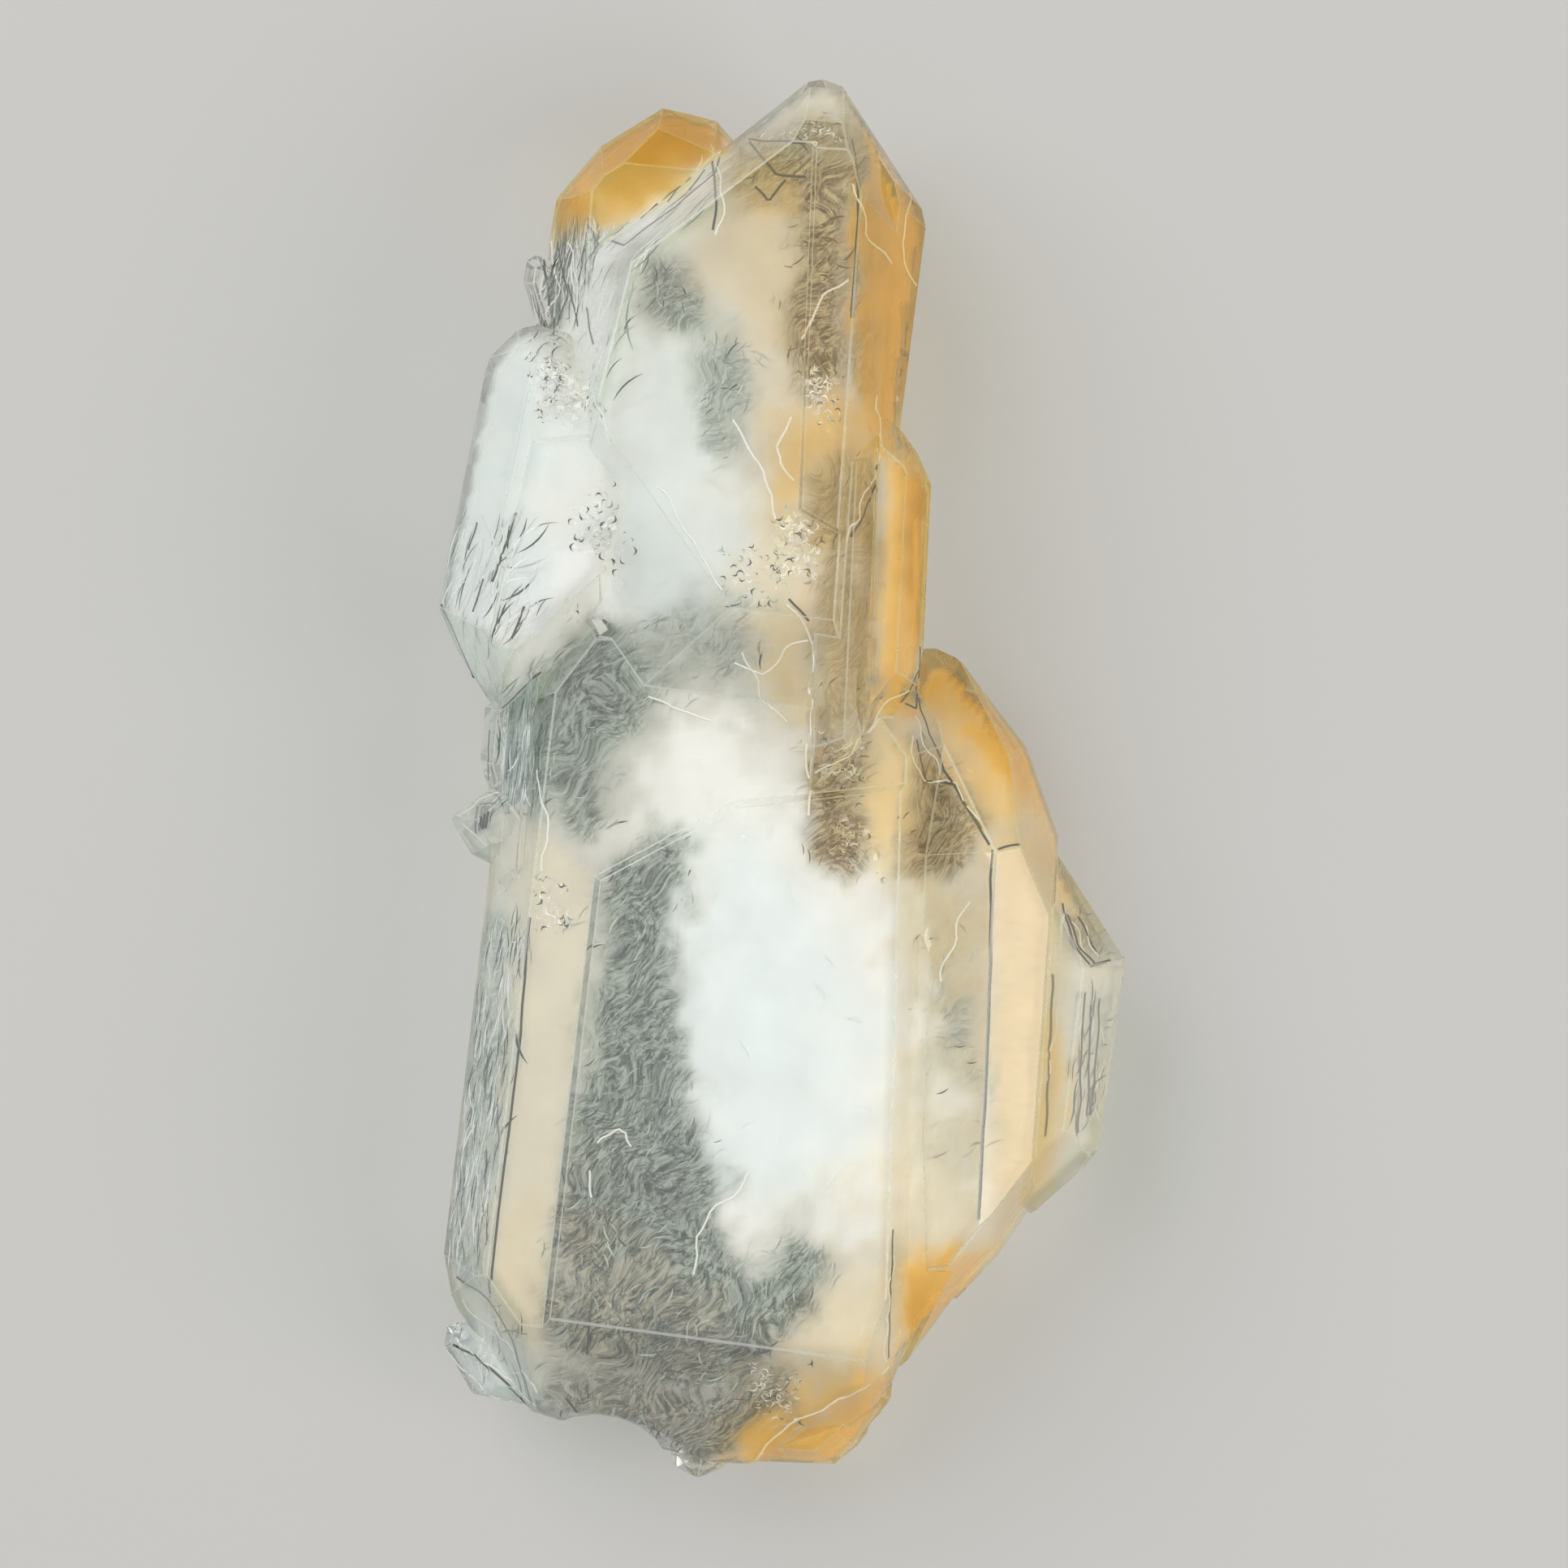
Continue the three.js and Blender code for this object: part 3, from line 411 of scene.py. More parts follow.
class QuartzFaceSettings(bpy.types.PropertyGroup):
    """Sizes and colours of the crystal's outside."""

    edge_width: bpy.props.FloatProperty(
        name="Edge width", description="Width of the worn line along each edge",
        default=0.06 * MM, unit="LENGTH")
    cell: bpy.props.FloatProperty(
        name="Colour cell", description="How finely the faces are divided to carry their colour",
        default=0.9 * MM, unit="LENGTH")
    clear_colour: bpy.props.FloatVectorProperty(
        name="Clear quartz", description="Colour of the clear faces", subtype="COLOR",
        default=(0.985, 0.985, 0.97))
    cool_colour: bpy.props.FloatVectorProperty(
        name="Cool quartz", description="Colour of the bluish faces", subtype="COLOR",
        default=(0.92, 0.97, 0.985))
    cream_colour: bpy.props.FloatVectorProperty(
        name="Cream quartz", description="Colour of the faintly stained faces", subtype="COLOR",
        default=(1.0, 0.94, 0.79))
    amber_colour: bpy.props.FloatVectorProperty(
        name="Iron stain", description="Colour of the stained faces", subtype="COLOR",
        default=(1.0, 0.84, 0.46))
    deep_colour: bpy.props.FloatVectorProperty(
        name="Deep stain", description="Colour of the most stained faces", subtype="COLOR",
        default=(0.96, 0.68, 0.14))
    brown_colour: bpy.props.FloatVectorProperty(
        name="Smoky quartz", description="Colour of the faces over the brown wisps", subtype="COLOR",
        default=(0.93, 0.83, 0.60))


class QuartzCloudSettings(bpy.types.PropertyGroup):
    """The veils, flakes, wisps, cracks and painted shade lines inside the crystal."""

    seed: bpy.props.IntProperty(
        name="Seed", description="Which arrangement the flakes and wisps take", default=7)
    veils: bpy.props.IntProperty(
        name="Veils", description="How many veils lie one above the other", default=4)
    veil_cell: bpy.props.FloatProperty(
        name="Veil cell", description="Distance between the points of a veil",
        default=0.25 * MM, unit="LENGTH")
    milk_flakes: bpy.props.IntProperty(
        name="Milky flakes", description="How many flakes the cloud has", default=400)
    wisps: bpy.props.IntProperty(
        name="Wisps", description="How many fine curved wisps there are", default=9000)
    streaks: bpy.props.IntProperty(
        name="Streaks", description="How many long fine streaks there are", default=700)
    glints: bpy.props.IntProperty(
        name="Glints", description="How many bright streaks there are", default=350)
    crumbs: bpy.props.IntProperty(
        name="Crumbs", description="How many short curled crumbs there are", default=900)
    flake_size: bpy.props.FloatProperty(
        name="Flake size", description="Radius of the widest flake", default=1.5 * MM, unit="LENGTH")
    wisp_length: bpy.props.FloatProperty(
        name="Wisp length", description="Length of the longest felt wisp", default=0.9 * MM, unit="LENGTH")
    crack_radius: bpy.props.FloatProperty(
        name="Crack radius", description="Half the width of a healed crack",
        default=0.045 * MM, unit="LENGTH")
    # The dark seams are lines of painted shade beside edges.
    shade_line_radius: bpy.props.FloatProperty(
        name="Seam radius", description="Half the width of a dark seam", default=0.05 * MM, unit="LENGTH")
    crack_depth: bpy.props.FloatProperty(
        name="Crack depth", description="How far cracks and seams lie under the front faces",
        default=0.16 * MM, unit="LENGTH")


class QuartzStageSettings(bpy.types.PropertyGroup):
    """The floor, the lights and the camera."""

    floor_colour: bpy.props.FloatVectorProperty(
        name="Floor", description="Colour of the floor", subtype="COLOR", default=(0.60, 0.60, 0.59))
    lens: bpy.props.FloatProperty(name="Lens", description="Focal length of the camera", default=200.0)


def add_node(tree, kind, inputs=None, **properties):
    """Adds a node, sets its properties, and fills or links its inputs by name or number."""
    node = tree.nodes.new(kind)
    for name, value in properties.items():
        setattr(node, name, value)
    for key, value in (inputs or {}).items():
        socket = node.inputs[key]
        if isinstance(value, bpy.types.NodeSocket):
            tree.links.new(value, socket)
        else:
            socket.default_value = value
    return node


def maths(tree, operation, *values):
    """A Math node's result."""
    return add_node(tree, "ShaderNodeMath", dict(enumerate(values)), operation=operation).outputs[0]


def blend(tree, share, first, second):
    """A mix of two colours."""
    return add_node(tree, "ShaderNodeMix", {0: share, 6: first, 7: second}, data_type="RGBA").outputs[2]


def rgba(colour):
    return (*colour, 1.0)


def new_group(name, inputs, outputs):
    """An empty shader group with the named sockets."""
    group = bpy.data.node_groups.new(name, "ShaderNodeTree")
    for label, kind in inputs.items():
        group.interface.new_socket(label, in_out="INPUT", socket_type=kind)
    for label, kind in outputs.items():
        group.interface.new_socket(label, in_out="OUTPUT", socket_type=kind)
    return group, group.nodes.new("NodeGroupInput"), group.nodes.new("NodeGroupOutput")


def place_in_millimetres(tree):
    """The object's own coordinates, in millimetres."""
    own = tree.nodes.new("ShaderNodeTexCoord").outputs["Object"]
    return add_node(tree, "ShaderNodeVectorMath", {0: own, "Scale": 1 / MM}, operation="SCALE").outputs[0]


def growth_relief_group():
    """The fine relief of grown and etched quartz, longer across the crystals than along them."""
    group, _, result = new_group("growth_relief", {}, {"Height": "NodeSocketFloat"})
    stretched = add_node(group, "ShaderNodeVectorMath", {0: place_in_millimetres(group), 1: (0.9, 2.4, 1.4)},
                         operation="MULTIPLY").outputs[0]
    grain = add_node(group, "ShaderNodeTexNoise", {
        "Vector": stretched, "Scale": 0.9, "Detail": 2.0, "Roughness": 0.6}).outputs[0]
    group.links.new(grain, result.inputs["Height"])
    return group


def quartz_surface(name, relief, transmission, roughness):
    """Quartz with growth relief that carries the mesh's tint. Lamps shine through it."""
    material = bpy.data.materials.new(name)
    material.use_nodes = True
    tree = material.node_tree
    glass = tree.nodes["Principled BSDF"]
    output = tree.nodes["Material Output"]
    grain = add_node(tree, "ShaderNodeGroup", node_tree=relief).outputs["Height"]
    bump = add_node(tree, "ShaderNodeBump", {"Strength": 0.3, "Distance": 0.05 * MM, "Height": grain})
    rough = add_node(tree, "ShaderNodeMapRange", {
        "Value": grain, "From Min": 0.35, "From Max": 0.7, "To Min": roughness[0], "To Max": roughness[1]})
    tree.links.new(rough.outputs[0], glass.inputs["Roughness"])
    tree.links.new(bump.outputs[0], glass.inputs["Normal"])
    tint = add_node(tree, "ShaderNodeAttribute", attribute_name="tint").outputs["Color"]
    tree.links.new(tint, glass.inputs["Base Color"])
    glass.inputs["IOR"].default_value = QUARTZ_IOR
    glass.inputs["Transmission Weight"].default_value = transmission
    clear = add_node(tree, "ShaderNodeBsdfTransparent", {"Color": LAMPLIGHT_THROUGH})
    lamps = tree.nodes.new("ShaderNodeLightPath").outputs["Is Shadow Ray"]
    mix = add_node(tree, "ShaderNodeMixShader", {0: lamps, 1: glass.outputs[0], 2: clear.outputs[0]})
    tree.links.new(mix.outputs[0], output.inputs["Surface"])
    absorb = add_node(tree, "ShaderNodeVolumeAbsorption", {"Color": (0.90, 0.94, 0.89, 1), "Density": 6.0})
    tree.links.new(absorb.outputs[0], output.inputs["Volume"])
    return material


def inclusion(name, opacity, roughness):
    """A thin film inside the crystal. Its colour, and how much it hides, come from the mesh."""
    material = bpy.data.materials.new(name)
    material.use_nodes = True
    tree = material.node_tree
    film = tree.nodes["Principled BSDF"]
    tint = add_node(tree, "ShaderNodeAttribute", attribute_name="tint").outputs["Color"]
    tree.links.new(tint, film.inputs["Base Color"])
    if opacity < 1:
        soft = add_node(tree, "ShaderNodeAttribute", attribute_name="soft").outputs["Fac"]
        tree.links.new(maths(tree, "MULTIPLY", soft, opacity), film.inputs["Alpha"])
    film.inputs["Roughness"].default_value = roughness
    film.inputs["Specular IOR Level"].default_value = 0.0
    return material


def felted(material):
    """Breaks a film's colour up into short dark and pale strokes that swirl, where it is felty."""
    tree = material.node_tree
    film = tree.nodes["Principled BSDF"]
    plain = film.inputs["Base Color"].links[0].from_socket
    place = place_in_millimetres(tree)
    drift = add_node(tree, "ShaderNodeTexNoise",
                     {"Vector": place, "Scale": 0.4, "Detail": 1.0}).outputs["Color"]
    swirled = add_node(tree, "ShaderNodeVectorMath", {0: drift, 1: (3.0, 3.0, 0.0), 2: place},
                       operation="MULTIPLY_ADD").outputs[0]
    laid = add_node(tree, "ShaderNodeMapping", {
        "Vector": swirled, "Rotation": (0, 0, 0.8), "Scale": (0.75, 0.25, 10.0)},
        vector_type="TEXTURE").outputs[0]
    strokes = add_node(tree, "ShaderNodeTexNoise", {
        "Vector": laid, "Scale": 1.7, "Detail": 3.0, "Roughness": 0.7, "Distortion": 0.6}).outputs[0]
    paleness = add_node(tree, "ShaderNodeMapRange", {
        "Value": strokes, "From Min": 0.40, "From Max": 0.62, "To Min": 0.0, "To Max": 1.0}).outputs[0]
    dark = add_node(tree, "ShaderNodeGamma", {"Color": plain, "Gamma": 2.6}).outputs[0]
    pale = add_node(tree, "ShaderNodeGamma", {"Color": plain, "Gamma": 0.4}).outputs[0]
    felt = add_node(tree, "ShaderNodeAttribute", attribute_name="felt").outputs["Fac"]
    tree.links.new(blend(tree, felt, plain, blend(tree, paleness, dark, pale)), film.inputs["Base Color"])
    return material


def merged_copy(node):
    """A copy of a CAD node's mesh with its triangles joined into whole faces."""
    mesh = bpy.data.objects[node].data.copy()
    solid = bmesh.new()
    solid.from_mesh(mesh)
    bmesh.ops.remove_doubles(solid, verts=solid.verts, dist=0.004 * MM)
    bmesh.ops.dissolve_limit(solid, angle_limit=math.radians(0.6), verts=solid.verts, edges=solid.edges)
    bmesh.ops.dissolve_degenerate(solid, edges=solid.edges, dist=0.003 * MM)
    solid.to_mesh(mesh)
    solid.free()
    return mesh


def weigh_edges(mesh, width):
    """Gives each sharp edge a share of the bevel: less if it is blunt or short, or beside a narrow face."""
    solid = bmesh.new()
    solid.from_mesh(mesh)
    layer = solid.edges.layers.float.new("bevel_weight_edge")
    for edge in solid.edges:
        if len(edge.link_faces) != 2 or edge.calc_face_angle(0) < math.radians(9):
            continue
        around = [other.calc_length() for vert in edge.verts for other in vert.link_edges]
        if min(around) > 2 * width:
            bluntness = edge.calc_face_angle(0) / math.radians(50)
            breadth = min(face.calc_area() / max(side.calc_length() for side in face.edges)
                          for face in edge.link_faces)
            edge[layer] = min(1.0, bluntness, 0.3 * min(around) / width, max(0.2, 0.08 * breadth / width))
    solid.to_mesh(mesh)
    solid.free()


def frost_faces(mesh, material):
    """Gives whole faces another material where their middle lies in a frosted zone."""
    x, y = (np.array([face.center[i] for face in mesh.polygons]) / MM for i in (0, 1))
    frosted = zone_reader(x, y)(FROST_AND_GLARE) > 0.3
    mesh.polygons.foreach_set("material_index", np.where(frosted, material, 0))


def divide_faces(mesh, cell):
    """Divides the faces until no edge is longer than the cell. They stay flat."""
    solid = bmesh.new()
    solid.from_mesh(mesh)
    for _ in range(8):
        bmesh.ops.triangulate(solid, faces=[face for face in solid.faces if len(face.verts) > 3])
        long = [edge for edge in solid.edges if edge.calc_length() > cell]
        if not long:
            break
        bmesh.ops.subdivide_edges(solid, edges=long, cuts=1)
    bmesh.ops.triangulate(solid, faces=[face for face in solid.faces if len(face.verts) > 3])
    solid.to_mesh(mesh)
    solid.free()


def paint_faces(mesh, settings):
    """Gives every corner of every face its tint from where it lies, with painted shade and light from which
    way it looks.
    """
    count = len(mesh.loops)
    places = np.empty(3 * len(mesh.vertices))
    mesh.vertices.foreach_get("co", places)
    vertex = np.empty(count, int)
    mesh.loops.foreach_get("vertex_index", vertex)
    normals = np.empty(3 * len(mesh.polygons))
    mesh.polygons.foreach_get("normal", normals)
    sides = np.empty(len(mesh.polygons), int)
    mesh.polygons.foreach_get("loop_total", sides)
    places = places.reshape(-1, 3) / MM
    normals = normals.reshape(-1, 3)
    x, y = places[:, 0], places[:, 1]
    amount = zone_reader(x, y)
    tint = np.tile(np.array(settings.clear_colour), (len(places), 1))
    tint = mixed(tint, settings.cool_colour, amount(COOL))
    tint = mixed(tint, settings.cream_colour, amount(CREAM))
    tint = mixed(tint, settings.brown_colour, amount(BROWN_WISP + TAN))
    tint = mixed(tint, settings.amber_colour, amount(AMBER))
    tint = mixed(tint, settings.deep_colour, amount(DEEP))
    towards = np.repeat(normals, sides, axis=0)
    colours = tint[vertex]
    white = np.ones((count, 3))
    # Painted shade and light: faces that look left are made cooler, and faces that look right warmer.
    colours = colours * mixed(white, settings.cool_colour, 0.4 * np.clip(-1.3 * towards[:, 0], 0, 1))
    colours = colours * mixed(white, settings.cream_colour, 0.5 * np.clip(1.3 * towards[:, 0], 0, 1))
    # A tone that differs at random from face to face, and painted shade that darkens the faces that look
    # left.
    tone_and_painted_shade = 0.95 + 0.05 * np.sin(11 * towards[:, 0] + 7 * towards[:, 1]) - 0.04 * np.clip(-towards[:, 0], 0, 1)
    colours = np.clip(colours * tone_and_painted_shade[:, None], 0, 1)
    layer = mesh.color_attributes.new("tint", "FLOAT_COLOR", "CORNER")
    layer.data.foreach_set("color", np.column_stack([colours, np.ones(count)]).ravel())


def finish_piece(piece, replaces=None):
    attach(piece, BODY)
    if replaces:
        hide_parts(replaces)


def placed_mesh(name, mesh):
    piece = bpy.data.objects.new(name, mesh)
    bpy.context.scene.collection.objects.link(piece)
    return piece


def settled_mesh(source):
    """An object's mesh with its modifiers applied. The object is removed."""
    depsgraph = bpy.context.evaluated_depsgraph_get()
    mesh = bpy.data.meshes.new_from_object(source.evaluated_get(depsgraph))
    bpy.data.objects.remove(source)
    return mesh


class QUARTZ_OT_faces(bpy.types.Operator):
    """Builds the clear crystal faces with their worn edges"""

    bl_idname = "quartz.faces"
    bl_label = "Crystal faces"

    def execute(self, context):
        settings = context.scene.quartz_faces
        relief = growth_relief_group()
        mesh = merged_copy(NODE)
        weigh_edges(mesh, settings.edge_width)
        mesh.materials.clear()
        mesh.materials.append(quartz_surface("clear_quartz", relief, 0.86, (0.02, 0.16)))
        mesh.materials.append(quartz_surface("worn_edge", relief, 0.55, (0.2, 0.5)))
        mesh.materials.append(quartz_surface("frosted_quartz", relief, 0.7, (0.06, 0.26)))
        frost_faces(mesh, 2)
        sharp = placed_mesh("sharp_faces", mesh)
        bevel = sharp.modifiers.new("worn edges", "BEVEL")
        bevel.limit_method = "WEIGHT"
        bevel.width = settings.edge_width
        bevel.segments = 1
        bevel.use_clamp_overlap = False
        bevel.material = 1
        worn = settled_mesh(sharp)
        divide_faces(worn, settings.cell)
        paint_faces(worn, settings)
        finish_piece(placed_mesh("crystal_faces", worn), NODE)
        return {"FINISHED"}


def solid_tree():
    """The crystal's outside, for asking what is inside it."""
    mesh = bpy.data.objects[NODE].data
    mesh.calc_loop_triangles()
    corners = [tuple(vertex.co) for vertex in mesh.vertices]
    return BVHTree.FromPolygons(corners, [tuple(t.vertices) for t in mesh.loop_triangles])


def room_around(solid, place):
    """The distance from a place inside the crystal to its surface, or 0 outside it."""
    hit, normal, _, _ = solid.ray_cast(place, Vector((0, 0, 1)))
    if hit is None or normal.z <= 0:
        return 0.0
    return solid.find_nearest(place)[3]


def inside_look(x, y, layer, veil_depth):
    """Colour, opacity and feltiness of the inside at places of one layer.

    The depth of a veil is 0 for an outermost one and 1 for the middle one. The felt is denser in the deep
    ones, so that the wisps show in front of it.
    """
    amount = zone_reader(x, y, layer)
    milk, cream, amber, deep, tan, cool, green, streaks, olive, brown, dark, frost_and_glare = (
        amount(zones) for zones in (
            MILK, CREAM, AMBER, DEEP, TAN, COOL, GREEN_WISP, STREAKS, OLIVE, BROWN_WISP, DARK_FELT, FROST_AND_GLARE))
    green = np.maximum(green, 0.8 * streaks)
    # Frost, and painted glare on facets that face the light, whiten only the outer veils.
    frost_and_glare = frost_and_glare * (1 - veil_depth)
    uneven = np.array([noise.noise(Vector((a, b, 7 * layer)) / 1.4) for a, b in zip(x, y)])
    colours = np.tile(np.array(PALE_HAZE), (len(x), 1))
    colours = mixed(colours, WHITE_MILK, milk)
    colours = mixed(colours, COOL_MILK, cool)
    colours = mixed(colours, CREAM_MILK, 0.85 * cream)
    colours = mixed(colours, TAN_STAIN, tan)
    colours = mixed(colours, AMBER_MILK, amber)
    colours = mixed(colours, DEEP_STAIN, deep)
    shade = np.maximum(green, brown)
    felt_colour = mixed(np.tile(np.array(GREEN_SHADE), (len(x), 1)), OLIVE_SHADE, olive)
    felt_colour = mixed(felt_colour, BROWN_SHADE, brown) * (1 - 0.5 * dark[:, None])
    colours = colours * (1 - 0.95 * shade[:, None]) + felt_colour * 0.95 * shade[:, None]
    colours = mixed(colours, FROST_AND_GLARE_WHITE, frost_and_glare)
    stain = 0.9 * np.maximum(amber, tan)
    opacity = (0.35 + 0.47 * np.maximum(milk, stain) + 0.25 * cream) * (1 + 0.3 * uneven)
    opacity = opacity * (1 - shade) + (0.74 + 0.2 * veil_depth + 0.15 * uneven) * shade
    return colours, np.maximum(opacity, 0.85 * frost_and_glare), shade * (1 - frost_and_glare)


def shrunk(grid, pick):
    """Each value of a grid replaced by what pick takes of it and its neighbours, such as the lowest."""
    result = grid.copy()
    for dx in (-1, 0, 1):
        for dy in (-1, 0, 1):
            result = pick(result, np.roll(grid, (dx, dy), (0, 1)))
    return result


def veil_mesh(settings, solid):
    """Wavy veils, one above the other, from under the back faces to just under the front ones.

    A veil's felty faces take the second material.
    """
    low, high = CAD_BOX
    xs = np.arange(low[0], high[0] + settings.veil_cell, settings.veil_cell)
    ys = np.arange(low[1], high[1] + settings.veil_cell, settings.veil_cell)
    top = np.full((len(xs), len(ys)), np.nan)
    bottom = top.copy()
    for i, x in enumerate(xs):
        for j, y in enumerate(ys):
            above = solid.ray_cast(Vector((x, y, 1)), Vector((0, 0, -1)))[0]
            if above:
                top[i, j] = above.z
                bottom[i, j] = solid.ray_cast(Vector((x, y, -1)), Vector((0, 0, 1)))[0].z
    top, bottom = shrunk(top, np.minimum), shrunk(bottom, np.maximum)
    verts, faces, colours, soft, felt = [], [], [], [], []
    for layer in range(settings.veils):
        share = 0.06 + 0.88 * layer / (settings.veils - 1)
        index = np.full(top.shape, -1)
        kept = []
        for i, j in zip(*np.nonzero(top - bottom > 0.35 * MM)):
            thick = top[i, j] - bottom[i, j]
            wave = 0.05 * thick * noise.noise(Vector((xs[i] / MM / 2.5, ys[j] / MM / 2.5, 3.1 * layer)))
            place = Vector((xs[i], ys[j], bottom[i, j] + share * thick + wave))
            if room_around(solid, place) > 0.05 * MM:
                index[i, j] = len(verts)
                verts.append(place)
                kept.append(place)
        inner = shrunk((index >= 0).astype(float), np.minimum)[index >= 0]
        depth = 1 - abs(2 * layer / (settings.veils - 1) - 1)
        tint, opacity, shade = inside_look(
            np.array([p.x for p in kept]) / MM, np.array([p.y for p in kept]) / MM, layer, depth)
        colours.append(tint)
        soft.append(opacity * inner)
        felt.append(shade)
        quads = np.stack([index[:-1, :-1], index[1:, :-1], index[1:, 1:], index[:-1, 1:]], -1).reshape(-1, 4)
        faces.extend(quads[(quads >= 0).all(axis=1)].tolist())
    colours, soft, felt = (np.concatenate(values) for values in (colours, soft, felt))
    mesh = bpy.data.meshes.new("veils")
    mesh.from_pydata(verts, [], faces)
    layer = mesh.attributes.new("tint", "FLOAT_COLOR", "POINT")
    layer.data.foreach_set("color", np.column_stack([colours, np.ones(len(colours))]).ravel())
    mesh.attributes.new("soft", "FLOAT", "POINT").data.foreach_set("value", soft)
    mesh.attributes.new("felt", "FLOAT", "POINT").data.foreach_set("value", felt)
    mesh.polygons.foreach_set("material_index", (felt[np.array(faces)].max(axis=1) > 0.02).astype(int))
    mesh.shade_smooth()
    return mesh


def scatter(solid, rng, count, chance, reach):
    """Random places inside the crystal, each with a size that fits there."""
    low, high = (Vector(corner) for corner in CAD_BOX)
    places, sizes = [], []
    while len(places) < count:
        tries = [Vector(rng.uniform(low[i], high[i]) for i in range(3)) for _ in range(count)]
        x, y = (np.array([p[i] for p in tries]) / MM for i in (0, 1))
        likely = chance(x, y)
        for place, hope in zip(tries, likely):
            if rng.random() > hope:
                continue
            room = room_around(solid, place)
            size = reach * rng.uniform(0.4, 1.0)
            if room > 0.25 * size:
                places.append(place)
                sizes.append(min(size, 0.92 * room))
    return places[:count], sizes[:count]


def under_faces(solid, rng, count, chance, reach, bearing, jitter):
    """Places just under the front faces, with the sizes and turns of wisps that lie flat against the face."""
    low, high = CAD_BOX
    places, sizes, turns = [], [], []
    while len(places) < count:
        tries = [(rng.uniform(low[0], high[0]), rng.uniform(low[1], high[1])) for _ in range(4 * count)]
        likely = chance(*(np.array(tries).T / MM))
        for (x, y), hope in zip(tries, likely):
            if rng.random() > hope:
                continue
            top, normal, _, _ = solid.ray_cast(Vector((x, y, 1)), Vector((0, 0, -1)))
            if top is None or normal.z < 0.15:
                continue
            heading = bearing + rng.gauss(0, jitter) + rng.choice((0, math.pi))
            along = Vector((math.cos(heading), math.sin(heading), 0))
            along = (along - along.dot(normal) * normal).normalized()
            across = normal.cross(along)
            place = top - rng.uniform(0.08, 0.35) * MM * normal
            size = reach * rng.uniform(0.3, 1.0)
            ends = [place + size * (side * along + 0.35 * across) for side in (-1, 1)]
            if min(room_around(solid, end) for end in ends) > 0.03 * MM:
                places.append(place)
                sizes.append(size)
                turns.append(tuple(Matrix((along, across, normal)).transposed().to_euler()))
    return places[:count], sizes[:count], turns[:count]


def point_cloud(name, places, sizes, turns, tint):
    """Scattered places as a mesh of loose points that carries their sizes, turns and colours."""
    mesh = bpy.data.meshes.new(name)
    mesh.from_pydata(places, [], [])
    mesh.attributes.new("size", "FLOAT", "POINT").data.foreach_set("value", sizes)
    mesh.attributes.new("turn", "FLOAT_VECTOR", "POINT").data.foreach_set("vector", np.ravel(turns))
    layer = mesh.attributes.new("tint", "FLOAT_COLOR", "POINT")
    layer.data.foreach_set("color", np.column_stack([tint, np.ones(len(places))]).ravel())
    return mesh


def new_tree(name, inputs):
    """An empty geometry tree with the named inputs and their defaults."""
    tree = bpy.data.node_groups.new(name, "GeometryNodeTree")
    tree.interface.new_socket("Geometry", in_out="INPUT", socket_type="NodeSocketGeometry")
    tree.interface.new_socket("Geometry", in_out="OUTPUT", socket_type="NodeSocketGeometry")
    for label, (kind, value) in inputs.items():
        tree.interface.new_socket(label, in_out="INPUT", socket_type=kind).default_value = value
    tree.interface.new_socket("Material", in_out="INPUT", socket_type="NodeSocketMaterial")
    return tree, tree.nodes.new("NodeGroupInput"), tree.nodes.new("NodeGroupOutput")


def set_on_points(tree, given, result, shape):
    """Sets a shape on each point, at the point's size and turn, and ends the tree."""
    size = add_node(tree, "GeometryNodeInputNamedAttribute", {"Name": "size"}, data_type="FLOAT").outputs[0]
    turn = add_node(tree, "GeometryNodeInputNamedAttribute", {"Name": "turn"},
                    data_type="FLOAT_VECTOR").outputs[0]
    placed = add_node(tree, "GeometryNodeInstanceOnPoints", {
        "Points": given.outputs["Geometry"], "Instance": shape, "Rotation": turn, "Scale": size})
    real = add_node(tree, "GeometryNodeRealizeInstances", {0: placed.outputs[0]})
    painted = add_node(tree, "GeometryNodeSetMaterial",
                       {"Geometry": real.outputs[0], "Material": given.outputs["Material"]})
    tree.links.new(painted.outputs[0], result.inputs[0])


def flake_tree():
    """Sets a soft-rimmed, slightly bent flake on each point."""
    tree, given, result = new_tree("flakes", {"Bend": ("NodeSocketFloat", 0.3)})
    disc = add_node(tree, "GeometryNodeMeshCircle", {"Vertices": 9, "Radius": 1.0}, fill_type="TRIANGLE_FAN")
    place = tree.nodes.new("GeometryNodeInputPosition").outputs[0]
    across = add_node(tree, "ShaderNodeSeparateXYZ", {0: place}).outputs[0]
    away = add_node(tree, "ShaderNodeVectorMath", {0: place}, operation="LENGTH").outputs["Value"]
    stored = add_node(tree, "GeometryNodeStoreNamedAttribute", {
        "Geometry": disc.outputs[0], "Name": "soft", "Value": maths(tree, "SUBTRACT", 1.0, away)},
        data_type="FLOAT", domain="POINT")
    rise = maths(tree, "MULTIPLY", maths(tree, "MULTIPLY", across, across), given.outputs["Bend"])
    lift = add_node(tree, "ShaderNodeCombineXYZ", {2: rise}).outputs[0]
    bent = add_node(tree, "GeometryNodeSetPosition", {"Geometry": stored.outputs[0], "Offset": lift})
    set_on_points(tree, given, result, bent.outputs[0])
    return tree


